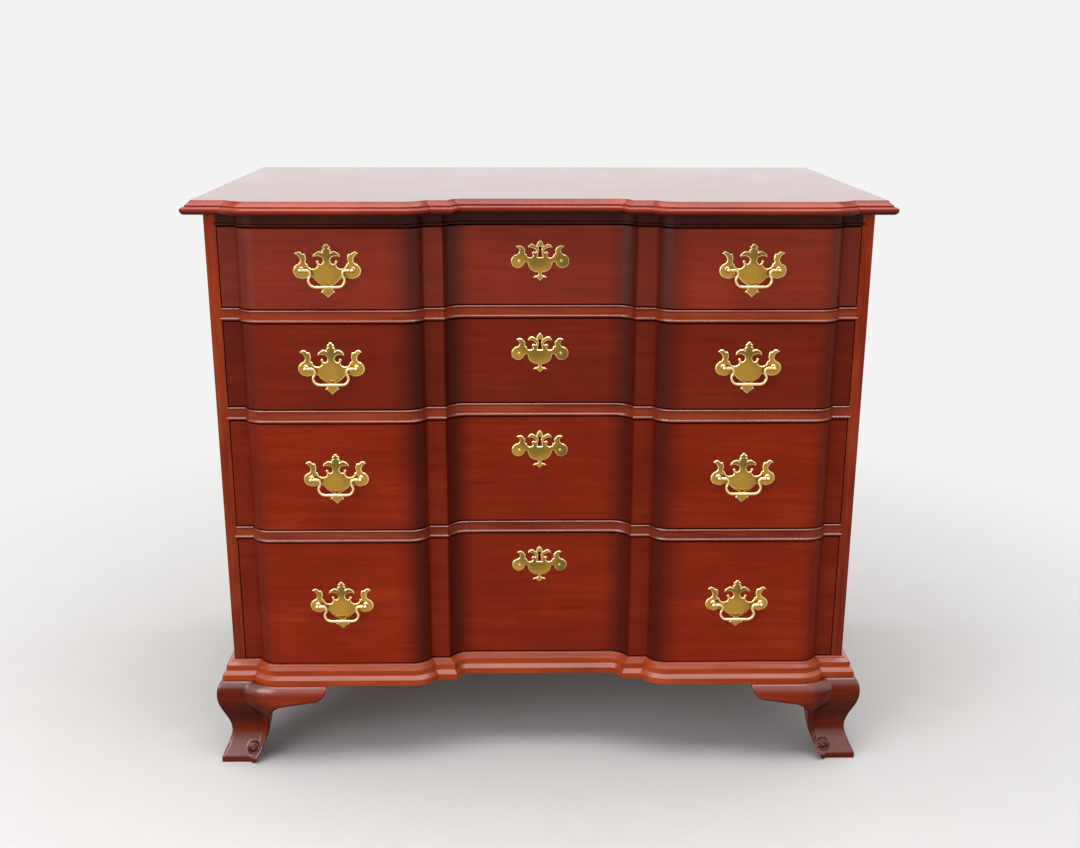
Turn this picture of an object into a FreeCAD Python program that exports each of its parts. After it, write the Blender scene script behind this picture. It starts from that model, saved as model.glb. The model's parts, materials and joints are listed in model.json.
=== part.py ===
import FreeCAD, Part
import math
import os

from FreeCAD import Vector

# Block front chest of four drawers.
# x runs to the right, y to the back and z up, in millimetres. While the pieces are made, y = 0 is the
# stile plane, the front of the case's flat stiles, and z = 0 is the floor. save() moves every piece by
# the same amount in y, so that the origin is under the middle of the whole chest.

# ---------------------------------------------------------------- driving dimensions
# Case
CASE_WIDTH = 914.4
CASE_DEPTH = 495.0
SIDE_THICKNESS = 16.0
HOUSING_DEPTH = 6.0
HOUSING_STOP = 12.0
BACK_BOARD_THICKNESS = 10.0
BACK_REBATE = 8.0
BACK_BOARDS = 3
BACK_BOARD_GAP = 1.0
BOTTOM_BOARD_THICKNESS = 20.0
RAIL_DEPTH = 70.0
REAR_RAIL_DEPTH = 60.0
RUNNER_WIDTH = 40.0

# Heights above the floor
FOOT_HEIGHT = 132.3
BASE_MOULDING_HEIGHT = 28.2
DRAWER_OPENINGS = [113.6, 124.8, 161.0, 193.7]
RAIL_THICKNESS = [17.7, 18.7, 18.1]
TOP_RAIL_THICKNESS = 16.6
TOP_THICKNESS = 19.0

# Shape of the front in plan: a sunk centre between two raised blocks
BLOCK_PROJECTION = 19.0
HOLLOW_DEPTH = 19.0
CURVE_RADIUS = 30.0
FLANK_LENGTH = 1.0
HOLLOW_ARRIS_X = 134.0
BLOCK_INNER_X = 161.0
BLOCK_OUTER_X = 416.0

# Top
TOP_OVERHANG = 25.4
TOP_BACK_OVERHANG = 8.0
TOP_SURFACE_SETBACK = 12.6
TOP_FILLET_SETBACK = 6.0
TOP_NOSE_UNDERCUT = 6.4
TOP_NOSE_TIP_HEIGHT = 7.2
TOP_NOSE_HEIGHT = 10.8
TOP_FILLET_HEIGHT = 1.8
TOP_COVE_SINK = 0.7
TOP_BACK_TRIM = 0.1

# Beads along the rails' edges
UPPER_BEAD_RADIUS = 1.65
LOWER_BEAD_RADIUS = 2.0
BEAD_LAP = 2.5

# Base moulding
MOULDING_TOP_LIP = 1.2
MOULDING_UPPER_STEP = 10.6
MOULDING_LOWER_STEP = 16.0
MOULDING_LIP_STEP = 3.4
MOULDING_LIP_HEIGHT = 1.7
MOULDING_LIP_REST = 0.5
MOULDING_UPPER_SLOPE = 3.7
MOULDING_UPPER_FACE = 8.6
MOULDING_LOWER_SLOPE = 5.0

# Ogee bracket feet
FOOT_TOP_PROJECTION = 16.9
KNEE_PROJECTION = 24.8
KNEE_HEIGHT = 111.0
NECK_PROJECTION = 8.8
NECK_HEIGHT = 47.0
TOE_PROJECTION = 23.8
TOE_SLAB_HEIGHT = 9.0
TOE_SWEEP = 1.45
KNEE_FLARE = 11.0
FOOT_INSET = 3.0
FOOT_BACK_BRACKET_THICKNESS = 18.0
FOOT_BACK_BRACKET_WIDTH = 112.0
FOOT_BLOCK_SIZE = 30.0
FOOT_BLOCK_BOTTOM = 22.0
WING_LENGTH = 141.2
WING_TIP_LENGTH = 24.0
WING_TIP_DROP = 23.5
WING_TIP_BULGE = 7.0
WING_DROP = 30.0
ANKLE_WIDTH = 51.5
ANKLE_HOLLOW_LENGTH = 26.0
ANKLE_HOLLOW_DROP = 30.0
ANKLE_HOLLOW_BULGE = 7.4
ANKLE_TAPER = 8.0
ANKLE_BULGE = 1.0
ANKLE_FOOT_HEIGHT = 38.0
TOE_WIDTH = 24.0
TOE_BULGE = 2.2
VOLUTE_RADIUS = 9.5
VOLUTE_FROM_CORNER = 24.2
VOLUTE_HEIGHT = 21.5
VOLUTE_FACE = 22.8

# Drawers
DRAWER_SIDE_GAP = 1.5
DRAWER_TOP_GAP = 1.8
DRAWER_BOTTOM_GAP = 1.5
DRAWER_FRONT_BACK = 40.0
DRAWER_EDGE_EASE = 1.2
DRAWER_SIDE_THICKNESS = 12.0
DRAWER_BACK_THICKNESS = 12.0
DRAWER_BACK_CLEARANCE = 15.0
DRAWER_SIDE_DROP = 5.0
DRAWER_BOTTOM_THICKNESS = 8.0
DRAWER_BOTTOM_RISE = 10.0
GROOVE_DEPTH = 6.0
DOVETAIL_LAP = 12.0
DOVETAIL_PITCH = 42.0
DOVETAIL_NECK_SHARE = 0.5
DOVETAIL_FLARE = 3.0
STOP_LENGTH = 12.0
STOP_HEIGHT = 8.0
RUNNING_CLEARANCE = 0.3

# Pulls
PULL_X = 290.0
POST_SPACING = 70.0
PLATE_THICKNESS = 1.6
POST_FLANGE_RADIUS = 3.9
POST_FLANGE_HEIGHT = 1.2
POST_STEM_RADIUS = 2.4
POST_BALL_RADIUS = 3.3
POST_REACH = 8.0
SHANK_RADIUS = 2.0
SHANK_HOLE_CLEARANCE = 0.2
SHANK_OVERRUN = 3.2
NUT_SIDES = 6
NUT_ACROSS_FLATS = 7.0
NUT_HEIGHT = 3.2
BAIL_PIN_RADIUS = 1.45
BAIL_PIN_CLEARANCE = 0.05
BAIL_PIN_DEPTH = 3.0
BAIL_SOCKET_DEPTH = 3.4
BAIL_KNUCKLE_RADIUS = 2.6
BAIL_KNUCKLE_LENGTH = 5.5
BAIL_ROD_RADIUS = 1.9
BAIL_BAR_RADIUS = 2.6
BAIL_BAR_LENGTH = 30.0
BAIL_SHOULDER_X = 21.8
BAIL_HIP_X = 25.2
BAIL_WAIST_Z = -7.5
BAIL_HIP_Z = -12.4
BAIL_DROP = 23.0
BAIL_TUCK = 5.0
BAIL_CORNER_RADIUS = 7.0
BAIL_BEND_RADIUS = 3.6

# Keyhole plates and locks
KEYHOLE_DROP = 33.5
KEYHOLE_RADIUS = 1.9
KEYHOLE_SLOT_HALF_WIDTH = 0.9
KEYHOLE_LENGTH = 10.0
ESCUTCHEON_HOLE_RADIUS = 2.4
ESCUTCHEON_SLOT_BOTTOM = 12.6
ESCUTCHEON_SLOT_HALF_WIDTHS = (1.3, 3.5)
ESCUTCHEON_PIN_X = 29.5
ESCUTCHEON_PIN_Z = -17.5
ESCUTCHEON_PIN_RADIUS = 0.7
ESCUTCHEON_PIN_HEAD_RADIUS = 1.5
ESCUTCHEON_PIN_HEAD_HEIGHT = 0.9
ESCUTCHEON_PIN_LENGTH = 9.0
LOCK_WIDTH = 60.0
LOCK_HEIGHT = 46.0
LOCK_DEPTH = 11.0
BOLT_WIDTH = 20.0
BOLT_THICKNESS = 3.2
BOLT_LENGTH = 25.0
BOLT_THROW = 8.0
BOLT_SETBACK = 4.0
KEY_CHAMBER_WIDTH = 15.0
KEY_CHAMBER_DEPTH = 42.0
STRIKE_CLEARANCE = 1.0

# Half outlines of the brass plates, as (x, z) from the middle of the posts or of the keyhole's eye.
# A pair of points is the middle and the end of an arc; a single point ends a straight edge.
PULL_PLATE_START = (0.0, 35.3)
PULL_PLATE_OUTLINE = [
    ((2.2, 34.6), (2.6, 32.4)), ((5.2, 30.6), (3.4, 28.6)), ((6.2, 26.4), (5.4, 23.2)),
    ((9.8, 25.0), (14.4, 23.2)), ((17.2, 21.2), (18.3, 16.8)), ((13.2, 18.0), (8.0, 17.0)),
    ((5.0, 13.1), (8.2, 7.4)), ((10.4, 8.2), (10.9, 10.2)), ((12.8, 12.1), (14.4, 9.4)),
    ((13.0, 6.8), (13.4, 4.2)), ((19.6, 1.0), (26.0, 7.6)), ((28.6, 9.8), (27.8, 12.4)),
    ((28.0, 17.2), (29.4, 21.4)), (32.8, 21.4), ((37.6, 24.6), (42.8, 21.4)),
    ((38.6, 18.6), (36.2, 14.2)), ((36.6, 10.4), (39.7, 7.6)), ((45.9, -3.4), (37.0, -12.2)),
    ((32.0, -12.9), (27.4, -11.0)), (18.8, -11.0), ((13.6, -17.6), (6.0, -21.8)),
    ((3.9, -23.6), (4.6, -26.0)), ((7.6, -28.4), (9.6, -31.6)), (6.6, -32.8), (4.4, -34.6), (0.0, -38.8)]
ESCUTCHEON_START = (0.0, 11.7)
ESCUTCHEON_OUTLINE = [
    ((3.9, 7.6), (4.6, 2.6)), ((7.6, 5.0), (10.6, 6.4)), (13.4, 6.0), ((16.2, 3.8), (17.2, 0.9)),
    ((12.2, 0.7), (7.0, -1.6)), ((5.6, -3.4), (6.6, -5.6)), ((8.6, -4.6), (10.4, -4.9)),
    ((11.7, -6.9), (9.8, -8.8)), ((14.0, -12.9), (18.6, -8.2)), ((20.6, -7.4), (21.0, -5.2)),
    ((20.7, -2.4), (22.4, 0.4)), ((27.4, 3.9), (33.6, 2.0)), ((30.2, -0.4), (29.2, -3.4)),
    ((30.2, -6.4), (34.0, -8.8)), ((40.9, -18.6), (34.2, -27.2)), ((25.6, -26.2), (21.9, -19.6)),
    (17.4, -19.6), ((14.6, -28.2), (3.4, -33.6)), ((2.4, -36.0), (8.9, -40.4)), (6.6, -42.2),
    ((4.4, -40.9), (3.4, -42.6)), (0.0, -45.5)]

# Steps in which a round moulding and a foot's ogee are drawn, and how far a cutting tool runs past
ROUND_STEPS = 5
OGEE_STEPS = 8
PAST = 1.0

# ---------------------------------------------------------------- sizes that follow from these
HALF_WIDTH = CASE_WIDTH / 2
OPENING_HALF = HALF_WIDTH - SIDE_THICKNESS
BASE_TOP = FOOT_HEIGHT + BASE_MOULDING_HEIGHT
INNER_BACK = CASE_DEPTH - BACK_BOARD_THICKNESS
WHOLE_FRONT = -(BLOCK_PROJECTION + TOP_OVERHANG)
WHOLE_BACK = CASE_DEPTH + TOP_BACK_OVERHANG
ROW_SHIFT = -(WHOLE_FRONT + WHOLE_BACK) / 2
BLOCK_FACE_Y = -BLOCK_PROJECTION
DRAWER_HALF = OPENING_HALF - DRAWER_SIDE_GAP
DRAWER_BACK_END = INNER_BACK - DRAWER_BACK_CLEARANCE
BRACKET_INNER_X = HALF_WIDTH - FOOT_INSET


def drawer_levels():
    """Lowest and highest z of each drawer opening, from the top drawer down."""
    spans = []
    bottom = BASE_TOP
    for height, rail in zip(reversed(DRAWER_OPENINGS), reversed([0.0] + RAIL_THICKNESS)):
        spans.append((bottom, bottom + height))
        bottom += height + rail
    return list(reversed(spans))


OPENINGS = drawer_levels()
TOP_UNDERSIDE = OPENINGS[0][1] + TOP_RAIL_THICKNESS


# ---------------------------------------------------------------- helpers
def box(x, y, z):
    """A box between the two values of each pair."""
    shape = Part.makeBox(x[1] - x[0], y[1] - y[0], z[1] - z[0])
    shape.translate(Vector(x[0], y[0], z[0]))
    return shape


def mirrored(shape):
    """The same shape on the other side of the chest."""
    return shape.mirror(Vector(0, 0, 0), Vector(1, 0, 0))


def both_sides(shape):
    return [shape, mirrored(shape)]


def bar_y(radius, x, y, z):
    """A round bar along y, between the two values of y."""
    return Part.makeCylinder(radius, y[1] - y[0], Vector(x, y[0], z), Vector(0, 1, 0))


def fuse_all(shapes):
    return shapes[0].fuse(shapes[1:]).removeSplitter()


def arc_middle(start, end, bulge):
    """Middle of the arc between two points of a plane, which bulges to the left of the way."""
    across, up = end[0] - start[0], end[1] - start[1]
    length = math.hypot(across, up)
    return ((start[0] + end[0]) / 2 - up / length * bulge, (start[1] + end[1]) / 2 + across / length * bulge)


def save(name, shapes):
    """Write one piece, or one group of separate solids, to its own file."""
    moved = []
    for shape in shapes:
        copy = shape.copy()
        copy.translate(Vector(0, ROW_SHIFT, 0))
        moved.extend(copy.Solids)
    for solid in moved:
        if not solid.isValid():
            print("not valid:", name)
    group = moved[0] if len(moved) == 1 else Part.makeCompound(moved)
    group.exportStep("parts/" + name + ".step")


# ---------------------------------------------------------------- the front line in plan
# A stretch of a plan line is a list of points: two for a straight edge, three for an arc.
def block_arc(centre_x, side, offset, flare=0.0):
    """The round shoulder from a block's face out to the flat beside it; side is +1 or -1 in x."""
    width = math.sqrt(BLOCK_PROJECTION * (2 * CURVE_RADIUS - BLOCK_PROJECTION)
                      + 2 * BLOCK_PROJECTION * offset) + flare
    radius = (width ** 2 + BLOCK_PROJECTION ** 2) / (2 * BLOCK_PROJECTION)
    half_turn = math.asin(width / radius) / 2
    face_y = BLOCK_FACE_Y - offset
    middle = (centre_x + side * radius * math.sin(half_turn), face_y + radius * (1 - math.cos(half_turn)))
    return [(centre_x, face_y), middle, (centre_x + side * width, -offset)]


def block_arc_centres():
    """x where the inner and outer shoulders meet the flat face of a block."""
    width = math.sqrt(BLOCK_PROJECTION * (2 * CURVE_RADIUS - BLOCK_PROJECTION))
    return BLOCK_INNER_X + width, BLOCK_OUTER_X - width


def hollow_stretches(offset):
    """The arc out of the sunk centre and the short straight flank that ends at its arris."""
    reach = math.hypot(CURVE_RADIUS, FLANK_LENGTH)
    turn = math.acos((CURVE_RADIUS - HOLLOW_DEPTH) / reach) - math.atan2(FLANK_LENGTH, CURVE_RADIUS)
    centre_x = HOLLOW_ARRIS_X - CURVE_RADIUS * math.sin(turn) - FLANK_LENGTH * math.cos(turn)
    centre_y = HOLLOW_DEPTH - CURVE_RADIUS
    radius = CURVE_RADIUS - offset

    def on_arc(angle):
        return (centre_x + radius * math.sin(angle), centre_y + radius * math.cos(angle))

    end = on_arc(turn)
    flank = (end[1] + offset) / math.sin(turn)
    arris = (end[0] + flank * math.cos(turn), -offset)
    return [[on_arc(0), on_arc(turn / 2), end], [end, arris]]


def front_line(offset, end_x):
    """The whole front line moved outwards by offset, from -end_x to end_x."""
    arc, flank = hollow_stretches(offset)
    inner_x, outer_x = block_arc_centres()
    inner = list(reversed(block_arc(inner_x, -1, offset)))
    outer = block_arc(outer_x, 1, offset)
    right = [arc, flank, [flank[-1], inner[0]], inner, [inner[-1], outer[0]], outer,
             [outer[-1], (end_x, -offset)]]
    left = [[(-x, y) for x, y in reversed(stretch)] for stretch in reversed(right)]
    centre = [left[-1][-1], right[0][0]]
    return left + [centre] + right


def closed_wire(stretches, corners, z):
    """A closed wire at height z: the stretches, then straight edges through the corners and back."""
    points = [stretches[-1][-1]] + corners + [stretches[0][0]]
    edges = []
    for stretch in stretches + [list(pair) for pair in zip(points, points[1:])]:
        placed = [Vector(x, y, z) for x, y in stretch]
        if len(placed) == 3:
            edges.append(Part.Arc(*placed).toShape())
        else:
            edges.append(Part.makeLine(*placed))
    return Part.Wire(edges)


def board_with_front(levels, end_x, back_y, follow=False):
    """A board whose front edge is the front line. levels are (z, offset); its ends stand at end_x,
    and move out with the offset if follow is true."""
    wires = []
    for z, offset in levels:
        side_x = end_x + offset if follow else end_x
        corners = [(side_x, back_y), (-side_x, back_y)]
        wires.append(closed_wire(front_line(offset, side_x), corners, z))
    return Part.makeLoft(wires, True, True)


def quarter_round(start, end, bulge_first):
    """(z, offset) points of a quarter ellipse between two, without its start. It leaves the start
    along the offset if bulge_first is true, and along z otherwise."""
    points = []
    for step in range(1, ROUND_STEPS + 1):
        angle = step / ROUND_STEPS * math.pi / 2
        slow, fast = 1 - math.cos(angle), math.sin(angle)
        z_share, offset_share = (slow, fast) if bulge_first else (fast, slow)
        points.append((start[0] + (end[0] - start[0]) * z_share,
                       start[1] + (end[1] - start[1]) * offset_share))
    return points


def bead_levels(low_z, radius):
    """(z, offset) points of a half round bead that starts at low_z, from its lower edge up."""
    levels = []
    for step in range(2 * ROUND_STEPS + 1):
        angle = step / (2 * ROUND_STEPS) * math.pi
        levels.append((low_z + radius * (1 - math.cos(angle)), radius * math.sin(angle)))
    return levels


# ---------------------------------------------------------------- the case
def make_top():
    z = TOP_UNDERSIDE
    nose_start = (z, TOP_OVERHANG - TOP_NOSE_UNDERCUT)
    tip = (z + TOP_NOSE_TIP_HEIGHT, TOP_OVERHANG)
    nose_end = (z + TOP_NOSE_HEIGHT, TOP_OVERHANG - TOP_FILLET_SETBACK)
    fillet_end = (nose_end[0] + TOP_FILLET_HEIGHT, nose_end[1])
    surface = (z + TOP_THICKNESS, TOP_OVERHANG - TOP_SURFACE_SETBACK)
    levels = [nose_start] + quarter_round(nose_start, tip, True) + quarter_round(tip, nose_end, False)
    levels.append(fillet_end)
    for step in range(1, ROUND_STEPS):
        share = step / ROUND_STEPS
        sink = TOP_COVE_SINK * math.sin(share * math.pi)
        levels.append((fillet_end[0] + (surface[0] - fillet_end[0]) * share,
                       fillet_end[1] + (surface[1] - fillet_end[1]) * share - sink))
    levels.append(surface)
    board = board_with_front(levels, HALF_WIDTH, WHOLE_BACK + TOP_BACK_TRIM, True)
    half = HALF_WIDTH + TOP_OVERHANG + PAST
    waste = box((-half, half), (WHOLE_BACK, WHOLE_BACK + TOP_BACK_TRIM + PAST), (z - PAST, surface[0] + PAST))
    save("top", [board.cut(waste)])


def housing(z):
    """The groove in a side board for a rail or runner between two heights, on the right."""
    return box((OPENING_HALF, OPENING_HALF + HOUSING_DEPTH), (HOUSING_STOP, INNER_BACK), z)


def rail_spans():
    """z of each piece housed in the sides: the bottom board, the dividers from the highest down, and
    the top rails."""
    dividers = [(lower[1], upper[0]) for upper, lower in zip(OPENINGS, OPENINGS[1:])]
    return [(BASE_TOP - BOTTOM_BOARD_THICKNESS, BASE_TOP)] + dividers + [(OPENINGS[0][1], TOP_UNDERSIDE)]


def make_sides():
    side = box((OPENING_HALF, HALF_WIDTH), (0, CASE_DEPTH), (FOOT_HEIGHT, TOP_UNDERSIDE))
    rebate = box((OPENING_HALF, OPENING_HALF + BACK_REBATE), (INNER_BACK, CASE_DEPTH),
                 (FOOT_HEIGHT, TOP_UNDERSIDE))
    side = side.cut([rebate] + [housing(span) for span in rail_spans()])
    save("side_right", [side])
    save("side_left", [mirrored(side)])


def housed_ends(y, z):
    """The two tongues that a cross piece has in the side boards' housings."""
    return both_sides(box((OPENING_HALF, OPENING_HALF + HOUSING_DEPTH), y, z))


def make_bottom_board():
    z = rail_spans()[0]
    board = board_with_front([(z[0], 0.0), (z[1], 0.0)], OPENING_HALF, INNER_BACK)
    save("bottom_board", [fuse_all([board] + housed_ends((HOUSING_STOP, INNER_BACK), z))])


def make_back_boards():
    half = OPENING_HALF + BACK_REBATE
    height = (TOP_UNDERSIDE - FOOT_HEIGHT - (BACK_BOARDS - 1) * BACK_BOARD_GAP) / BACK_BOARDS
    boards = []
    for index in range(BACK_BOARDS):
        low = FOOT_HEIGHT + index * (height + BACK_BOARD_GAP)
        boards.append(box((-half, half), (INNER_BACK, CASE_DEPTH), (low, low + height)))
    save("back_boards", boards)


def bolt_y():
    """Front and back y of the lock bolts."""
    front = DRAWER_FRONT_BACK - LOCK_DEPTH + BOLT_SETBACK
    return front, front + BOLT_THICKNESS


def strike_pocket(underside):
    """The pocket in a rail that a lock bolt rises into."""
    front, back = bolt_y()
    half = BOLT_WIDTH / 2 + STRIKE_CLEARANCE
    return box((-half, half), (front - STRIKE_CLEARANCE, back + STRIKE_CLEARANCE),
               (underside, underside + BOLT_THROW + STRIKE_CLEARANCE))


def make_front_rail(name, z, upper_bead, extra):
    """A shaped rail with a bead along its lower edge, and one along its upper edge if asked."""
    levels = bead_levels(z[0], LOWER_BEAD_RADIUS)
    if upper_bead:
        levels += bead_levels(z[1] - 2 * UPPER_BEAD_RADIUS, UPPER_BEAD_RADIUS)
    else:
        levels.append((z[1], 0.0))
    rail = board_with_front(levels, OPENING_HALF, RAIL_DEPTH).cut(strike_pocket(z[0]))
    centre = Vector(OPENING_HALF, 0, z[0] + LOWER_BEAD_RADIUS)
    lap = Part.makeCylinder(LOWER_BEAD_RADIUS, BEAD_LAP, centre, Vector(1, 0, 0))
    lap = lap.cut(box((OPENING_HALF - PAST, OPENING_HALF + BEAD_LAP + PAST),
                      (0, LOWER_BEAD_RADIUS + PAST), z))
    save(name, [fuse_all([rail] + housed_ends((HOUSING_STOP, RAIL_DEPTH), z) + both_sides(lap))] + extra)


def make_rails():
    spans = rail_spans()
    top_span = spans[-1]
    rear_y = (INNER_BACK - REAR_RAIL_DEPTH, INNER_BACK)
    rear = fuse_all([box((-OPENING_HALF, OPENING_HALF), rear_y, top_span)] + housed_ends(rear_y, top_span))
    make_front_rail("top_rails", top_span, False, [rear])
    for number, span in enumerate(spans[1:-1], start=1):
        make_front_rail("divider_rail_" + str(number), span, True, [])


def make_runners():
    """Runners behind each divider, kickers over the top drawer and stops behind every drawer."""
    solids = []
    x = (OPENING_HALF - RUNNER_WIDTH, OPENING_HALF + HOUSING_DEPTH)
    for span in rail_spans()[1:-1]:
        solids += both_sides(box(x, (RAIL_DEPTH, INNER_BACK), span))
    solids += both_sides(box(x, (RAIL_DEPTH, INNER_BACK - REAR_RAIL_DEPTH), rail_spans()[-1]))
    stop_y = DRAWER_BACK_END + RUNNING_CLEARANCE
    for low, _ in OPENINGS:
        solids += both_sides(box((OPENING_HALF - RUNNER_WIDTH, OPENING_HALF),
                                 (stop_y, stop_y + STOP_LENGTH), (low, low + STOP_HEIGHT)))
    save("drawer_runners", solids)


# ---------------------------------------------------------------- base moulding and feet
def moulding_levels():
    """(z, offset) points of the stepped base moulding, from its lower edge up."""
    lip_bottom = BASE_TOP - MOULDING_LIP_HEIGHT
    slope_top = lip_bottom - MOULDING_LIP_REST
    upper_face_top = slope_top - MOULDING_UPPER_SLOPE
    upper_face_bottom = upper_face_top - MOULDING_UPPER_FACE
    lower_face_top = upper_face_bottom - MOULDING_LOWER_SLOPE
    levels = [(FOOT_HEIGHT, MOULDING_LOWER_STEP), (lower_face_top, MOULDING_LOWER_STEP),
              (upper_face_bottom, MOULDING_UPPER_STEP), (upper_face_top, MOULDING_UPPER_STEP),
              (slope_top, MOULDING_LIP_STEP), (lip_bottom, MOULDING_LIP_STEP)]
    return levels + quarter_round(levels[-1], (BASE_TOP, MOULDING_TOP_LIP), False)


def make_base_moulding():
    front_wires = []
    side_wires = []
    inner = [list(reversed(stretch)) for stretch in reversed(front_line(0.0, HALF_WIDTH))]
    for z, offset in moulding_levels():
        corner = (HALF_WIDTH + offset, -offset)
        outer = front_line(offset, HALF_WIDTH + offset)
        mitre = [corner, (HALF_WIDTH, 0.0)]
        front_wires.append(closed_wire(outer + [mitre] + inner, [], z))
        back = [(corner[0], CASE_DEPTH), (HALF_WIDTH, CASE_DEPTH)]
        side_wires.append(closed_wire([list(reversed(mitre))], back, z))
    save("base_moulding_front", [Part.makeLoft(front_wires, True, True)])
    save("base_moulding_sides", both_sides(Part.makeLoft(side_wires, True, True)))


def foot_levels():
    """(z, offset) points of the ogee profile, from the floor up: slab, toe, neck, knee and top."""
    levels = [(0.0, TOE_PROJECTION)]
    for step in range(OGEE_STEPS):
        share = step / OGEE_STEPS
        sweep = (1 - share) ** TOE_SWEEP
        levels.append((TOE_SLAB_HEIGHT + (NECK_HEIGHT - TOE_SLAB_HEIGHT) * share,
                       NECK_PROJECTION + (TOE_PROJECTION - NECK_PROJECTION) * sweep))
    for step in range(OGEE_STEPS + 1):
        share = step / OGEE_STEPS
        swell = (1 - math.cos(share * math.pi)) / 2
        levels.append((NECK_HEIGHT + (KNEE_HEIGHT - NECK_HEIGHT) * share,
                       NECK_PROJECTION + (KNEE_PROJECTION - NECK_PROJECTION) * swell))
    return levels + quarter_round(levels[-1], (FOOT_HEIGHT, FOOT_TOP_PROJECTION), False)


def arris_flare(offset):
    """How far the arris beside the block swings out where the knee swells past the foot's top."""
    swell = (offset - FOOT_TOP_PROJECTION) / (KNEE_PROJECTION - FOOT_TOP_PROJECTION)
    return KNEE_FLARE * max(0.0, swell)


def bracket_opening(place, thickness):
    """The space under a bracket's wing and beside its ankle. place(u, z) gives the point at u from
    the case's corner, and thickness is the vector that the space is drawn along."""
    tip = (WING_LENGTH, FOOT_HEIGHT)
    wing_start = (WING_LENGTH - WING_TIP_LENGTH, FOOT_HEIGHT - WING_TIP_DROP)
    wing_end = (ANKLE_WIDTH + ANKLE_HOLLOW_LENGTH, FOOT_HEIGHT - WING_DROP)
    ankle_top = (ANKLE_WIDTH, wing_end[1] - ANKLE_HOLLOW_DROP)
    ankle_foot = (ANKLE_WIDTH - ANKLE_TAPER, ANKLE_FOOT_HEIGHT)
    toe = (TOE_WIDTH, 0.0)
    beyond = WING_LENGTH + PAST
    outline = [
        [tip, arc_middle(tip, wing_start, WING_TIP_BULGE), wing_start],
        [wing_start, wing_end],
        [wing_end, arc_middle(wing_end, ankle_top, -ANKLE_HOLLOW_BULGE), ankle_top],
        [ankle_top, arc_middle(ankle_top, ankle_foot, ANKLE_BULGE), ankle_foot],
        [ankle_foot, arc_middle(ankle_foot, toe, TOE_BULGE), toe],
        [toe, (TOE_WIDTH, -PAST)], [(TOE_WIDTH, -PAST), (beyond, -PAST)],
        [(beyond, -PAST), (beyond, FOOT_HEIGHT)], [(beyond, FOOT_HEIGHT), tip]]
    edges = []
    for stretch in outline:
        placed = [place(u, z) for u, z in stretch]
        edges.append(Part.Arc(*placed).toShape() if len(placed) == 3 else Part.makeLine(*placed))
    return Part.Face(Part.Wire(edges)).extrude(thickness)


def front_facing():
    """The front of the right front foot, mitred at the corner, with the volute on its toe."""
    outer_x = block_arc_centres()[1]
    wing_x = HALF_WIDTH - WING_LENGTH
    wires = []
    for z, offset in foot_levels():
        arc = block_arc(outer_x, 1, offset, arris_flare(offset))
        corner = (HALF_WIDTH + offset, -offset)
        stretches = [[(wing_x, arc[0][1]), arc[0]], arc, [arc[-1], corner]]
        wires.append(closed_wire(stretches, [(BRACKET_INNER_X, FOOT_INSET), (wing_x, FOOT_INSET)], z))
    facing = Part.makeLoft(wires, True, True)
    volute = bar_y(VOLUTE_RADIUS, HALF_WIDTH - VOLUTE_FROM_CORNER, (-VOLUTE_FACE, 0.0), VOLUTE_HEIGHT)
    reach = BLOCK_PROJECTION + KNEE_PROJECTION + PAST

    def place(u, z):
        return Vector(HALF_WIDTH - u, -reach, z)

    opening = bracket_opening(place, Vector(0, reach + FOOT_INSET + PAST, 0))
    return fuse_all([facing.cut(opening), volute])


def side_facing(mitred, corner_y, direction):
    """The side of a right foot. It starts at corner_y and runs in direction, +1 to the back."""
    wires = []
    end_y = corner_y + direction * WING_LENGTH
    for z, offset in foot_levels():
        outer_start = corner_y - offset if mitred else corner_y
        inner_start = corner_y + FOOT_INSET if mitred else corner_y
        outer_x = HALF_WIDTH + offset
        edge = [(outer_x, outer_start), (outer_x, end_y)]
        wires.append(closed_wire([edge], [(BRACKET_INNER_X, end_y), (BRACKET_INNER_X, inner_start)], z))
    facing = Part.makeLoft(wires, True, True)

    def place(u, z):
        return Vector(BRACKET_INNER_X - PAST, corner_y + direction * u, z)

    return facing.cut(bracket_opening(place, Vector(KNEE_PROJECTION + FOOT_INSET + 2 * PAST, 0, 0)))


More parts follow.
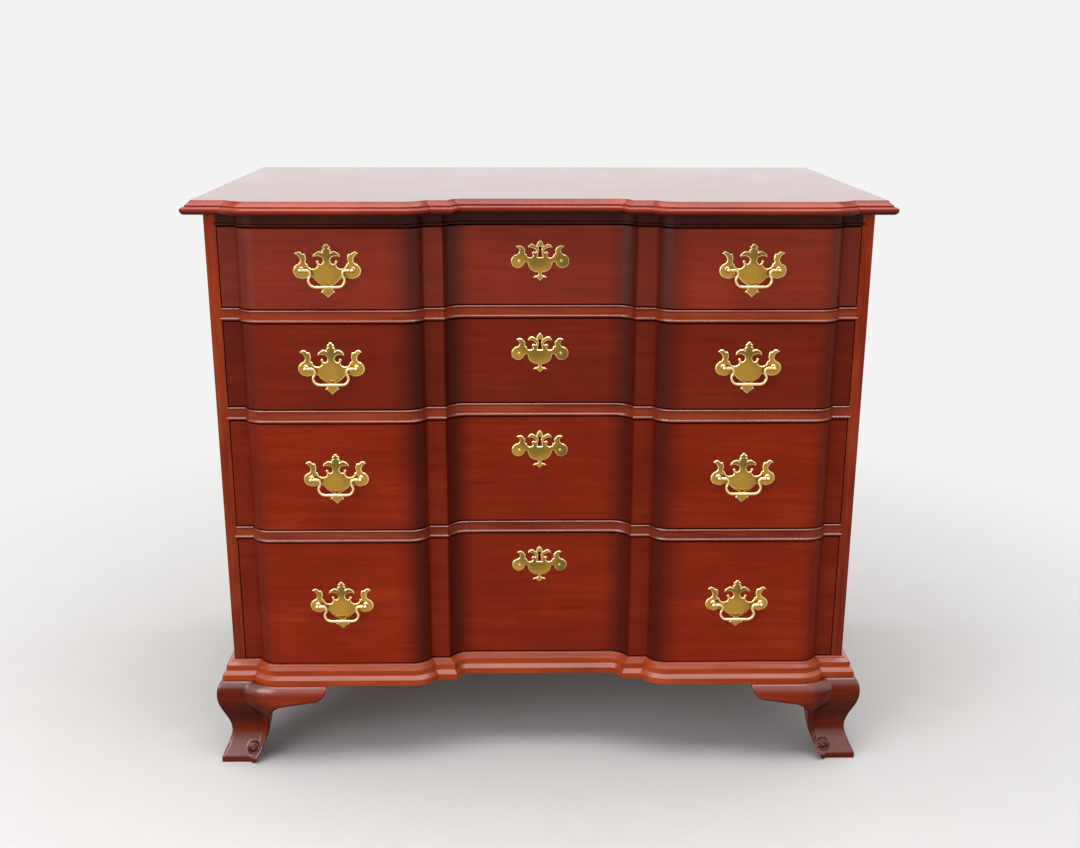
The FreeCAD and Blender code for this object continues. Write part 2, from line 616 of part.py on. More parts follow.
def make_feet():
    block_x = (BRACKET_INNER_X - FOOT_BLOCK_SIZE, BRACKET_INNER_X)
    block_z = (FOOT_BLOCK_BOTTOM, BASE_TOP - BOTTOM_BOARD_THICKNESS)
    front_block = box(block_x, (FOOT_INSET, FOOT_INSET + FOOT_BLOCK_SIZE), block_z)
    side_board = box((OPENING_HALF, HALF_WIDTH), (0, CASE_DEPTH), (FOOT_HEIGHT, TOP_UNDERSIDE))
    front = [front_facing(), side_facing(True, 0.0, 1), front_block.cut(side_board)]
    save("foot_front_right", front)
    save("foot_front_left", [mirrored(shape) for shape in front])

    bracket_y = (CASE_DEPTH - FOOT_BACK_BRACKET_THICKNESS, CASE_DEPTH)
    bracket_x = BRACKET_INNER_X - FOOT_BACK_BRACKET_WIDTH
    foot_x = BRACKET_INNER_X - ANKLE_WIDTH
    wing_z = FOOT_HEIGHT - WING_DROP
    points = [(bracket_x, FOOT_HEIGHT), (bracket_x, wing_z), (foot_x, wing_z - ANKLE_HOLLOW_DROP),
              (BRACKET_INNER_X - TOE_WIDTH, 0.0), (BRACKET_INNER_X, 0.0), (BRACKET_INNER_X, FOOT_HEIGHT)]
    outline = [Vector(x, bracket_y[0], z) for x, z in points + points[:1]]
    bracket = Part.Face(Part.makePolygon(outline)).extrude(Vector(0, FOOT_BACK_BRACKET_THICKNESS, 0))
    block_y = (bracket_y[0] - FOOT_BLOCK_SIZE, bracket_y[0])
    rear = [side_facing(False, CASE_DEPTH, -1), bracket, box(block_x, block_y, block_z).cut(side_board)]
    save("foot_rear_right", rear)
    save("foot_rear_left", [mirrored(shape) for shape in rear])


# ---------------------------------------------------------------- drawers
def dovetails(z):
    """The tails of a right drawer side that enter the front's end, spread between two heights."""
    count = max(2, round((z[1] - z[0]) / DOVETAIL_PITCH))
    pitch = (z[1] - z[0]) / count
    half = pitch * DOVETAIL_NECK_SHARE / 2
    tails = []
    for index in range(count):
        middle = z[0] + (index + 0.5) * pitch
        points = [(DRAWER_FRONT_BACK, middle - half), (DOVETAIL_LAP, middle - half - DOVETAIL_FLARE),
                  (DOVETAIL_LAP, middle + half + DOVETAIL_FLARE), (DRAWER_FRONT_BACK, middle + half)]
        inner_x = DRAWER_HALF - DRAWER_SIDE_THICKNESS
        outline = [Vector(inner_x, y, height) for y, height in points + points[:1]]
        tails.append(Part.Face(Part.makePolygon(outline)).extrude(Vector(DRAWER_SIDE_THICKNESS, 0, 0)))
    return tails


def keyhole_tool(eye_z, radius, half_widths, length, y):
    """A keyhole between two values of y: a round eye with a slot hanging from it."""
    top_half, bottom_half = half_widths
    low_z = eye_z - length
    points = [(-top_half, eye_z), (-bottom_half, low_z), (bottom_half, low_z), (top_half, eye_z)]
    outline = [Vector(x, y[0], z) for x, z in points + points[:1]]
    slot = Part.Face(Part.makePolygon(outline)).extrude(Vector(0, y[1] - y[0], 0))
    return bar_y(radius, 0.0, y, eye_z).fuse(slot)


def post_positions(post_z):
    return [(side * PULL_X + end * POST_SPACING / 2, post_z) for side in (-1, 1) for end in (-1, 1)]


def make_drawer_front(prefix, z, post_z, eye_z, cuts):
    """z is the front's own lowest and highest height; cuts are the joints' tools."""
    low, high = z
    eased = [(low, -DRAWER_EDGE_EASE)]
    eased += quarter_round(eased[0], (low + DRAWER_EDGE_EASE, 0.0), True)
    upper = [(high - DRAWER_EDGE_EASE, 0.0)]
    upper += quarter_round(upper[0], (high, -DRAWER_EDGE_EASE), False)
    front = board_with_front(eased + upper, DRAWER_HALF, DRAWER_FRONT_BACK)
    shank_y = (BLOCK_FACE_Y - PAST, DRAWER_FRONT_BACK + PAST)
    holes = [bar_y(SHANK_RADIUS + SHANK_HOLE_CLEARANCE, x, shank_y, height)
             for x, height in post_positions(post_z)]
    mortise = box((-LOCK_WIDTH / 2, LOCK_WIDTH / 2),
                  (DRAWER_FRONT_BACK - LOCK_DEPTH, DRAWER_FRONT_BACK + PAST),
                  (high - LOCK_HEIGHT, high + PAST))
    slot_halves = (KEYHOLE_SLOT_HALF_WIDTH, KEYHOLE_SLOT_HALF_WIDTH)
    keyhole = keyhole_tool(eye_z, KEYHOLE_RADIUS, slot_halves, KEYHOLE_LENGTH, (0.0, DRAWER_FRONT_BACK))
    pin_holes = [bar_y(ESCUTCHEON_PIN_RADIUS, side * ESCUTCHEON_PIN_X,
                       (0.0, HOLLOW_DEPTH + ESCUTCHEON_PIN_LENGTH), eye_z + ESCUTCHEON_PIN_Z)
                 for side in (-1, 1)]
    front = front.cut(cuts + holes + [mortise, keyhole] + pin_holes)
    save(prefix + "front", [front])


def make_drawer_box(number, opening):
    """The wooden box of one drawer."""
    prefix = "drawer_" + str(number) + "_"
    front_z = (opening[0] + DRAWER_BOTTOM_GAP, opening[1] - DRAWER_TOP_GAP)
    side_z = (opening[0] + RUNNING_CLEARANCE, front_z[1] - DRAWER_SIDE_DROP)
    inner_x = DRAWER_HALF - DRAWER_SIDE_THICKNESS
    bottom_z = (side_z[0] + DRAWER_BOTTOM_RISE, side_z[0] + DRAWER_BOTTOM_RISE + DRAWER_BOTTOM_THICKNESS)
    bottom = box((-inner_x - GROOVE_DEPTH, inner_x + GROOVE_DEPTH),
                 (DRAWER_FRONT_BACK - GROOVE_DEPTH, DRAWER_BACK_END), bottom_z)
    back_start = DRAWER_BACK_END - DRAWER_BACK_THICKNESS
    back = box((-inner_x - GROOVE_DEPTH, inner_x + GROOVE_DEPTH), (back_start, DRAWER_BACK_END),
               (bottom_z[1], side_z[1]))
    tails = dovetails((front_z[0], side_z[1]))
    side = fuse_all([box((inner_x, DRAWER_HALF), (DRAWER_FRONT_BACK, DRAWER_BACK_END), side_z)] + tails)
    side = side.cut([bottom, back])
    save(prefix + "sides", both_sides(side))
    save(prefix + "back", [back])
    save(prefix + "bottom", [bottom])
    post_z = (opening[0] + opening[1]) / 2
    eye_z = opening[1] - KEYHOLE_DROP
    joints = [bottom] + [shape for tail in tails for shape in both_sides(tail)]
    make_drawer_front(prefix, front_z, post_z, eye_z, joints)
    make_pulls(prefix, post_z)
    make_escutcheon(prefix, eye_z)
    make_lock(prefix, front_z[1], eye_z)


# ---------------------------------------------------------------- brasses
def plate_face(start, outline, centre_x, centre_z, y):
    """A plate's face, from half its outline and its mirror image."""
    def place(point, side):
        return Vector(centre_x + side * point[0], y, centre_z + point[1])

    halves = []
    for side in (1, -1):
        edges = []
        last = start
        for stretch in outline:
            if isinstance(stretch[0], tuple):
                middle, end = stretch
                edges.append(Part.Arc(place(last, side), place(middle, side), place(end, side)).toShape())
            else:
                end = stretch
                edges.append(Part.makeLine(place(last, side), place(end, side)))
            last = end
        halves.append(edges)
    right, left = halves
    return Part.Face(Part.Wire(right + list(reversed(left))))


def make_post(x, z):
    """One post with its threaded shank, the bail's socket on the side nearer the pull's middle."""
    plate_y = BLOCK_FACE_Y - PLATE_THICKNESS
    ball_y = plate_y - POST_REACH
    flange = bar_y(POST_FLANGE_RADIUS, x, (plate_y - POST_FLANGE_HEIGHT, plate_y), z)
    stem = bar_y(POST_STEM_RADIUS, x, (ball_y, plate_y), z)
    ball = Part.makeSphere(POST_BALL_RADIUS, Vector(x, ball_y, z))
    shank_end = DRAWER_FRONT_BACK + NUT_HEIGHT + SHANK_OVERRUN
    shank = bar_y(SHANK_RADIUS, x, (plate_y - POST_FLANGE_HEIGHT, shank_end), z)
    pull_x = math.copysign(PULL_X, x)
    inward = math.copysign(1.0, pull_x - x)
    mouth_x = x + inward * POST_BALL_RADIUS
    socket = Part.makeCylinder(BAIL_PIN_RADIUS + BAIL_PIN_CLEARANCE, BAIL_SOCKET_DEPTH + PAST,
                               Vector(mouth_x + inward * PAST, ball_y, z), Vector(-inward, 0, 0))
    return fuse_all([flange, stem, ball, shank]).cut(socket)


def make_nut(x, z):
    corner = NUT_ACROSS_FLATS / 2 / math.cos(math.pi / NUT_SIDES)
    points = []
    for side in range(NUT_SIDES + 1):
        angle = side * 2 * math.pi / NUT_SIDES
        points.append(Vector(x + corner * math.cos(angle), DRAWER_FRONT_BACK, z + corner * math.sin(angle)))
    nut = Part.Face(Part.makePolygon(points)).extrude(Vector(0, NUT_HEIGHT, 0))
    bore_y = (DRAWER_FRONT_BACK - PAST, DRAWER_FRONT_BACK + NUT_HEIGHT + PAST)
    return nut.cut(bar_y(SHANK_RADIUS, x, bore_y, z))


def fillet_point(corner, before, after, radius):
    """Start, middle and end of the arc of this radius that rounds a corner of a path."""
    to_before = (before - corner).normalize()
    to_after = (after - corner).normalize()
    half_angle = to_before.getAngle(to_after) / 2
    along = radius / math.tan(half_angle)
    centre = corner + (to_before + to_after).normalize() * (radius / math.sin(half_angle))
    middle = centre + (corner - centre).normalize() * radius
    return corner + to_before * along, middle, corner + to_after * along


def make_bail(centre_x, z):
    """The swinging handle, hanging straight down from its two pins."""
    y = BLOCK_FACE_Y - PLATE_THICKNESS - POST_REACH
    face_x = POST_SPACING / 2 - POST_BALL_RADIUS
    corners = [Vector(face_x, y, 0), Vector(BAIL_SHOULDER_X, y, 0), Vector(BAIL_SHOULDER_X, y, BAIL_WAIST_Z),
               Vector(BAIL_HIP_X, y, BAIL_HIP_Z), Vector(BAIL_HIP_X - BAIL_TUCK, y, -BAIL_DROP),
               Vector(0, y, -BAIL_DROP)]
    radii = [BAIL_BEND_RADIUS, BAIL_BEND_RADIUS, BAIL_BEND_RADIUS, BAIL_CORNER_RADIUS]
    edges = []
    last = corners[0]
    for index, radius in enumerate(radii, start=1):
        start, middle, end = fillet_point(corners[index], corners[index - 1], corners[index + 1], radius)
        edges.append(Part.makeLine(last, start))
        edges.append(Part.Arc(start, middle, end).toShape())
        last = end
    edges.append(Part.makeLine(last, corners[-1]))
    path = Part.Wire(edges)
    section = Part.Wire(Part.makeCircle(BAIL_ROD_RADIUS, corners[0], Vector(1, 0, 0)))
    rod = path.makePipeShell([section], True, True)
    pin = Part.makeCylinder(BAIL_PIN_RADIUS, BAIL_PIN_DEPTH + PAST,
                            Vector(face_x - PAST, y, 0), Vector(1, 0, 0))
    half_bar = BAIL_BAR_LENGTH / 2
    swell = [Vector(-half_bar, y, -BAIL_DROP + BAIL_ROD_RADIUS), Vector(0, y, -BAIL_DROP + BAIL_BAR_RADIUS),
             Vector(half_bar, y, -BAIL_DROP + BAIL_ROD_RADIUS)]
    ends = [Vector(half_bar, y, -BAIL_DROP), Vector(-half_bar, y, -BAIL_DROP)]
    profile = Part.Wire([Part.Arc(*swell).toShape(), Part.makeLine(swell[-1], ends[0]),
                         Part.makeLine(*ends), Part.makeLine(ends[1], swell[0])])
    bar = Part.Face(profile).revolve(Vector(0, y, -BAIL_DROP), Vector(1, 0, 0), 360)
    knuckle = Part.makeCylinder(BAIL_KNUCKLE_RADIUS, BAIL_KNUCKLE_LENGTH,
                                Vector(face_x - BAIL_KNUCKLE_LENGTH, y, 0), Vector(1, 0, 0))
    right = rod.fuse([pin, knuckle])
    bail = fuse_all([right, mirrored(right), bar])
    bail.translate(Vector(centre_x, 0, z))
    return bail


def make_pulls(prefix, post_z):
    plates = []
    posts = []
    holes = []
    for side, name in ((-1, "bail_left"), (1, "bail_right")):
        centre_x = side * PULL_X
        face = plate_face(PULL_PLATE_START, PULL_PLATE_OUTLINE, centre_x, post_z, BLOCK_FACE_Y)
        plates.append(face.extrude(Vector(0, -PLATE_THICKNESS, 0)))
        save(prefix + name, [make_bail(centre_x, post_z)])
    for x, z in post_positions(post_z):
        hole_y = (BLOCK_FACE_Y - PLATE_THICKNESS - PAST, BLOCK_FACE_Y + PAST)
        holes.append(bar_y(SHANK_RADIUS + SHANK_HOLE_CLEARANCE, x, hole_y, z))
        posts += [make_post(x, z), make_nut(x, z)]
    save(prefix + "pull_plates", [plate.cut(holes) for plate in plates])
    save(prefix + "pull_posts", posts)


def make_escutcheon(prefix, eye_z):
    """The pierced keyhole plate and the two pins that hold it."""
    face = plate_face(ESCUTCHEON_START, ESCUTCHEON_OUTLINE, 0.0, eye_z, HOLLOW_DEPTH)
    plate = face.extrude(Vector(0, -PLATE_THICKNESS, 0))
    through = (HOLLOW_DEPTH - PLATE_THICKNESS - PAST, HOLLOW_DEPTH + PAST)
    plate = plate.cut(keyhole_tool(eye_z, ESCUTCHEON_HOLE_RADIUS, ESCUTCHEON_SLOT_HALF_WIDTHS,
                                   ESCUTCHEON_SLOT_BOTTOM, through))
    front_y = HOLLOW_DEPTH - PLATE_THICKNESS
    pins = []
    for side in (-1, 1):
        x, z = side * ESCUTCHEON_PIN_X, eye_z + ESCUTCHEON_PIN_Z
        plate = plate.cut(bar_y(ESCUTCHEON_PIN_RADIUS, x, through, z))
        shank = bar_y(ESCUTCHEON_PIN_RADIUS, x, (front_y, HOLLOW_DEPTH + ESCUTCHEON_PIN_LENGTH), z)
        head = bar_y(ESCUTCHEON_PIN_HEAD_RADIUS, x, (front_y - ESCUTCHEON_PIN_HEAD_HEIGHT, front_y), z)
        pins.append(fuse_all([shank, head]))
    save(prefix + "escutcheon", [plate] + pins)


def make_lock(prefix, top_z, eye_z):
    """The lock let into the front's back and top edge, and the bolt that rises out of it."""
    front_y, back_y = bolt_y()
    clear = RUNNING_CLEARANCE
    body = box((-LOCK_WIDTH / 2, LOCK_WIDTH / 2), (DRAWER_FRONT_BACK - LOCK_DEPTH, DRAWER_FRONT_BACK),
               (top_z - LOCK_HEIGHT, top_z))
    channel_half = BOLT_WIDTH / 2 + clear
    slot_y = (front_y - clear, back_y + clear)
    shelf_z = top_z - BOLT_LENGTH - 2 * clear
    channel = box((-channel_half, channel_half), slot_y, (shelf_z, top_z + PAST))
    chamber = box((-KEY_CHAMBER_WIDTH / 2, KEY_CHAMBER_WIDTH / 2), slot_y,
                  (top_z - KEY_CHAMBER_DEPTH, shelf_z))
    keyhole = keyhole_tool(eye_z, KEYHOLE_RADIUS, (KEYHOLE_SLOT_HALF_WIDTH, KEYHOLE_SLOT_HALF_WIDTH),
                           KEYHOLE_LENGTH, (DRAWER_FRONT_BACK - LOCK_DEPTH - PAST, slot_y[1]))
    save(prefix + "lock", [body.cut([channel, chamber, keyhole])])
    bolt = box((-BOLT_WIDTH / 2, BOLT_WIDTH / 2), (front_y, back_y), (shelf_z + clear, top_z - clear))
    save(prefix + "bolt", [bolt])


def main():
    os.makedirs("parts", exist_ok=True)
    make_top()
    make_sides()
    make_bottom_board()
    make_back_boards()
    make_rails()
    make_runners()
    make_base_moulding()
    make_feet()
    for number, opening in enumerate(OPENINGS, start=1):
        make_drawer_box(number, opening)


main()
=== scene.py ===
"""The looks of a block front chest of four drawers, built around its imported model."""
import json
import math

import bmesh
import bpy
import numpy as np
from mathutils import Matrix, Vector
from mathutils.geometry import delaunay_2d_cdt


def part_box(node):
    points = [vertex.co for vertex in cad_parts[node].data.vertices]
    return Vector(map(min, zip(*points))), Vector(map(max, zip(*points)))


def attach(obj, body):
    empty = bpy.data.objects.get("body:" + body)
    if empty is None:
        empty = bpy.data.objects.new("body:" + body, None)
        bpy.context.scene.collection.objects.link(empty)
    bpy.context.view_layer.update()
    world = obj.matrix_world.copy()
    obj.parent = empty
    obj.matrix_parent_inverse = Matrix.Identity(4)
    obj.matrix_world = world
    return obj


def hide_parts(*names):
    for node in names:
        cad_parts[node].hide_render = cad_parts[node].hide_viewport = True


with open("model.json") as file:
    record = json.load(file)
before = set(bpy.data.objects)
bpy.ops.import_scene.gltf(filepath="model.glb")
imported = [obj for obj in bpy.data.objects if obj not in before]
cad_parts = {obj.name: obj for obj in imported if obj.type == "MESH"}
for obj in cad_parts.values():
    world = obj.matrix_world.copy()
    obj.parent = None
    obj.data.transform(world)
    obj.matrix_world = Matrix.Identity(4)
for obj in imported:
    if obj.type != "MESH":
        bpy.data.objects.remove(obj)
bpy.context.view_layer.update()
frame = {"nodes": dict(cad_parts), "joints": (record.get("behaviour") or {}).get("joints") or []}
nodes = frame["nodes"]
joints = {joint["name"]: joint for joint in frame["joints"]}

MM = 0.001
WELD = 0.01 * MM
DRAWERS = (1, 2, 3, 4)
SIDES = ("left", "right")

# Camera: the picture is 1080 pixels wide
CAMERA_PLACE = (-0.0296, -1.9563, 1.0319)
CAMERA_PITCH = 16.316
CAMERA_YAW = -0.983
CAMERA_ROLL = 0.135
FOCAL_PIXELS = 1262.6
PICTURE_WIDTH = 1080
SENSOR_WIDTH = 36.0

# Brass plates: how wide the bevel round their edges is, how deep and how hollow, where along it its rings
# of points lie, and how far apart the points on their faces and outlines are
PLATE_BEVEL = 1.25 * MM
PLATE_BEVEL_DROP = 1.0 * MM
PLATE_BEVEL_POWER = 1.25
PLATE_RINGS = (0.2, 0.45, 0.7, 1.0)
PLATE_GRID = 2.6 * MM
PLATE_STEP = 0.7 * MM
PULL_HALF_WIDTH = 45.0 * MM
KEYHOLE_PLATE_HALF_WIDTH = 60.0 * MM

# The keyhole plates' pins, whose holes lie further than this from the middle, and their sizes in millimetres
PIN_FROM_MIDDLE = 20.0 * MM
PIN_RADIUS, PIN_DOME_HEIGHT, PIN_SINK = 1.5, 1.05, 0.3
PIN_SHANK_RADIUS, PIN_TIP_RADIUS, PIN_TIP_LENGTH = 0.65, 0.3, 1.5

# Where the middle of a keyhole plate's eye is, and the drop under it: its neck, curl and point as (across,
# up) from the eye in millimetres
EYE_FROM_TOP = 11.7 * MM
DROP_START = -33.5 * MM
DROP = [(3.5, -33.6), (2.5, -35.1), (2.9, -36.9), (5.0, -38.3), (7.4, -39.0), (9.5, -40.6), (9.0, -41.7),
        (7.2, -41.2), (5.4, -41.2), (4.0, -42.0), (2.4, -43.5), (0.0, -45.5)]

# Pulls, in millimetres: the bail's path as (across, up) from the middle of its axis, and its radius there
BAIL_PATH = [(33.6, 0.0, 1.4), (31.75, 0.0, 1.4), (31.7, 0.0, 2.5), (30.6, 0.0, 2.85), (28.6, 0.0, 2.8),
             (26.4, 0.0, 2.7), (24.3, -0.5, 2.55), (22.6, -2.2, 2.3), (21.9, -5.0, 2.05), (22.3, -8.2, 1.9),
             (23.9, -11.2, 1.9), (24.5, -14.2, 1.9), (23.5, -17.7, 1.95), (20.6, -21.2, 2.05),
             (16.6, -22.8, 2.15), (10.0, -23.0, 2.35), (0.0, -23.0, 2.6)]

# Posts: how far apart and how long they are, and in millimetres a post's neck as (distance towards the
# front from the plate, radius), the ball on it, the thread behind the plate and the nut
POST_FROM_MIDDLE = 35.0 * MM
POST_REACH = 8.0 * MM
POST_NECK = [(0.0, 3.9), (0.5, 4.0), (1.0, 3.7), (1.4, 3.0), (2.0, 2.45), (3.0, 2.2), (4.2, 2.2), (5.0, 2.3)]
BALL_RADIUS = 3.3
BALL_TURN = (-46, 84)
THREAD_RADII = (1.7, 1.95)
THREAD_STEP, THREAD_STEPS = 0.35, 34
SHANK_TIP_RADIUS = 1.2
NUT = [(0.0, 3.6), (0.3, 4.05), (2.9, 4.05), (3.2, 3.6)]
NUT_SIDES = 6

# The scroll on a front foot, in millimetres: the middle of its eye and its face, the run of its rim down
# the ankle as (x, z, y, radius), and how the rim winds in, stands out more and grows thinner as it turns
VOLUTE_X, VOLUTE_Z, VOLUTE_Y = 433.0, 21.5, -252.1
VOLUTE_RUN = [(408.6, 55.0, -237.4, 0.5), (410.6, 48.0, -238.0, 1.0), (413.2, 40.5, -239.6, 1.4),
              (416.6, 33.5, -242.6, 1.7), (420.9, 27.6, -246.8, 1.8)]
VOLUTE_START_RADIUS, VOLUTE_END_RADIUS = 8.2, 4.2
VOLUTE_TURN, VOLUTE_TURN_STEP = 390, 15
VOLUTE_SINK = 0.7
VOLUTE_RISE, VOLUTE_RISE_TURN = 0.9, 60
VOLUTE_LATER_RISE = 0.5
VOLUTE_RIM, VOLUTE_RIM_LOSS = 1.95, 0.65
VOLUTE_EYE = [(-0.6, 3.3), (0.6, 3.3), (1.5, 2.9), (2.3, 2.0), (2.65, 0.8)]

# How far painted shade darkens the wood, by the distance from the chest's middle in metres: on the fronts it
# stands in for the shade and dark reflections on the blocks' curves and flanks, with a little of the finish's
# own toning
FRONT_PAINTED_SHADE = [(0.0, 0.1), (0.096, 0.1), (0.110, 0.45), (0.122, 0.85), (0.1335, 0.75), (0.1345, 0.3),
               (0.16, 0.32), (0.163, 0.75), (0.174, 0.85), (0.187, 0.45), (0.2, 0.15), (0.212, 0.0),
               (0.38, 0.0), (0.394, 0.16), (0.404, 0.5), (0.413, 0.45), (0.417, 0.38), (0.45, 0.34)]
# On the feet it is painted shade, darker round their corners.
FOOT_PAINTED_SHADE = [(0.0, 0.0), (0.39, 0.04), (0.408, 0.2), (0.421, 0.52), (0.5, 0.5)]

# Wood: how far a surface faces up, as its normal's z, where the polish begins and is whole and where it
# counts as level, and how much painted shade darkens level wood
POLISH_SPAN = (0.12, 0.45)
LEVEL_SPAN = (0.9, 0.99)
LEVEL_PAINTED_SHADE = 0.4

# How far a surface faces down where its painted shade begins and is whole, between which heights painted
# shade darkens wood towards the floor, how much its roughness varies, and from which rounding in millimetres
# on it needs more samples
UNDER_SHADE_SPAN = (-0.05, 0.6)
LOW_SHADE_SPAN = (0.1, 0.85)
ROUGHNESS_BELOW, ROUGHNESS_ABOVE = 0.04, 0.05
WIDE_EDGE = 1.0
EDGE_SAMPLES, WIDE_EDGE_SAMPLES = 3, 8

# How straight to the front a brass face looks where it counts as flat and takes its painted reflection
BRASS_FLAT_SPAN = (0.88, 0.985)

# Light, as radiance: the backdrop is what is seen or mirrored and the surround is what lights. The floor
# fades into the backdrop between two distances from the middle.
BACKDROP = 0.9
SURROUND = 0.46
OVERHEAD_LAMP = 3.6
LEFT_LAMP = 3.0
FLOOR_FADE = (0.75, 1.7)
FLOOR_HALF = 20.0


def srgb(red, green, blue):
    """A colour given as it looks on a screen, 0 to 255, as the linear colour that a shader takes."""
    linear = []
    for value in (red, green, blue):
        share = value / 255
        linear.append(share / 12.92 if share <= 0.04045 else ((share + 0.055) / 1.055) ** 2.4)
    return (*linear, 1.0)


# ---------------------------------------------------------------- materials
class Shader:
    """A material under construction."""

    def __init__(self, name):
        self.material = bpy.data.materials.new(name)
        self.material.use_nodes = True
        self.tree = self.material.node_tree
        self.tree.nodes.clear()
        self.surface = self.tree.nodes.new("ShaderNodeBsdfPrincipled")
        output = self.tree.nodes.new("ShaderNodeOutputMaterial")
        self.output = output.inputs["Surface"]
        self.tree.links.new(self.surface.outputs["BSDF"], self.output)
        self.place = self.node("TexCoord").outputs["Object"]

    def node(self, kind, inputs=None, **settings):
        made = self.tree.nodes.new("ShaderNode" + kind)
        for key, value in settings.items():
            setattr(made, key, value)
        for key, value in (inputs or {}).items():
            self.put(made.inputs[key], value)
        return made

    def put(self, socket, value):
        if isinstance(value, bpy.types.NodeSocket):
            self.tree.links.new(value, socket)
        else:
            socket.default_value = value

    def finish(self, **inputs):
        for key, value in inputs.items():
            self.put(self.surface.inputs[key.replace("_", " ")], value)
        return self.material

    def math(self, operation, a, b=0.0):
        return self.node("Math", {0: a, 1: b}, operation=operation, use_clamp=False).outputs[0]

    def stretch(self, scale, offset=(0.0, 0.0, 0.0)):
        return self.node("Mapping", {"Vector": self.place, "Location": offset, "Scale": scale}).outputs[0]

    def noise(self, vector, scale, detail=3.0, roughness=0.5, distortion=0.0):
        return self.node("TexNoise", {"Vector": vector, "Scale": scale, "Detail": detail,
                                      "Roughness": roughness, "Distortion": distortion}).outputs[0]

    def span(self, value, low, high, to_low=0.0, to_high=1.0):
        """The value moved smoothly from one span to another."""
        return self.node("MapRange", {0: value, 1: low, 2: high, 3: to_low, 4: to_high},
                         interpolation_type="SMOOTHSTEP").outputs[0]

    def mix(self, share, a, b, blend="MIX"):
        return self.node("Mix", {0: share, 6: a, 7: b}, data_type="RGBA", blend_type=blend).outputs[2]

    def ramp(self, value, stops):
        """The value read off straight lines between stops of (value, height), both 0 to 1."""
        made = self.node("ValToRGB", {0: value})
        points = made.color_ramp.elements
        for index, (place, height) in enumerate(stops):
            point = points[index] if index < 2 else points.new(place)
            point.position = place
            point.color = (height, height, height, 1.0)
        return made.outputs[0]

    def place_part(self, axis):
        """One part, 0 to 2, of the place in the piece's own space."""
        return self.node("SeparateXYZ", {0: self.place}).outputs[axis]

    def normal_part(self, axis):
        """One part, 0 to 2, of the surface's direction in the piece's own space."""
        direction = self.node("TexCoord").outputs["Normal"]
        return self.node("SeparateXYZ", {0: direction}).outputs[axis]

    def bump(self, height, strength, distance, normal=None):
        inputs = {"Height": height, "Strength": strength, "Distance": distance}
        if normal is not None:
            inputs["Normal"] = normal
        return self.node("Bump", inputs).outputs[0]


GRAIN_AXES = {"x": 0, "y": 1, "z": 2}
# The dark that painted shade mixes into wood, and the colour of the dark marks in the grain
PAINTED_SHADE_AND_MARK_COLOUR = srgb(45, 11, 10)
# The dark that painted shade on what faces down mixes in
UNDER_SHADE_COLOUR = srgb(30, 9, 9)


def stained(s, colours, grain, seed, lines):
    """Colour of stained wood from its darkest to its lightest figure, with its fibre and pores. lines is
    how strong the growth lines are."""
    offset = (seed * 3.1, seed * 1.7, seed * 2.3)

    def figure(stretch, scale, detail, distortion=0.0):
        scales = [stretch] * 3
        scales[GRAIN_AXES[grain]] = 1.0
        return s.noise(s.stretch(tuple(scales), offset), scale, detail, 0.55, distortion)

    parts = [(figure(1.0, 8.0, 2.0, 0.4), 0.28), (figure(5.0, 3.6, 3.0, 0.9), 0.28),
             (figure(24.0, 6.5, 3.0, 0.2), 0.24), (figure(30.0, 24.0, 2.0), 0.2)]
    tone = s.math("MULTIPLY", parts[0][0], parts[0][1])
    for value, weight in parts[1:]:
        tone = s.math("ADD", tone, s.math("MULTIPLY", value, weight))
    dark, middle, light = colours
    colour = s.mix(s.span(tone, 0.40, 0.505), dark, middle)
    colour = s.mix(s.span(tone, 0.495, 0.61), colour, light)
    scales = [1.0] * 3
    scales[GRAIN_AXES[grain]] = 0.07
    growth = s.node("TexWave", {"Vector": s.stretch(tuple(scales), offset), "Scale": 22.0, "Distortion": 9.0,
                                "Detail": 3.0, "Detail Scale": 0.7}, bands_direction="DIAGONAL").outputs[1]
    colour = s.mix(s.math("MULTIPLY", s.span(growth, 0.45, 1.0), lines), colour, dark)
    pores = s.span(figure(9.0, 230.0, 2.0), 0.60, 0.74)
    return s.mix(s.math("MULTIPLY", pores, 0.3), colour, dark, "MULTIPLY"), parts[3][0], pores, parts[0][0]


def grain_mark(s, colour, mark):
    """A fine dark line in the grain: mark is its middle x and z, and its half length and width."""
    x, z, length, width = mark
    across = s.math("DIVIDE", s.math("SUBTRACT", s.place_part(0), x), length)
    bend = s.math("MULTIPLY", s.math("MULTIPLY", across, across), width * 1.4)
    up = s.math("DIVIDE", s.math("SUBTRACT", s.math("SUBTRACT", s.place_part(2), z), bend), width)
    reach = s.math("ADD", s.math("MULTIPLY", across, across), s.math("MULTIPLY", up, up))
    return s.mix(s.span(reach, 0.2, 1.0, 0.75, 0.0), colour, PAINTED_SHADE_AND_MARK_COLOUR)


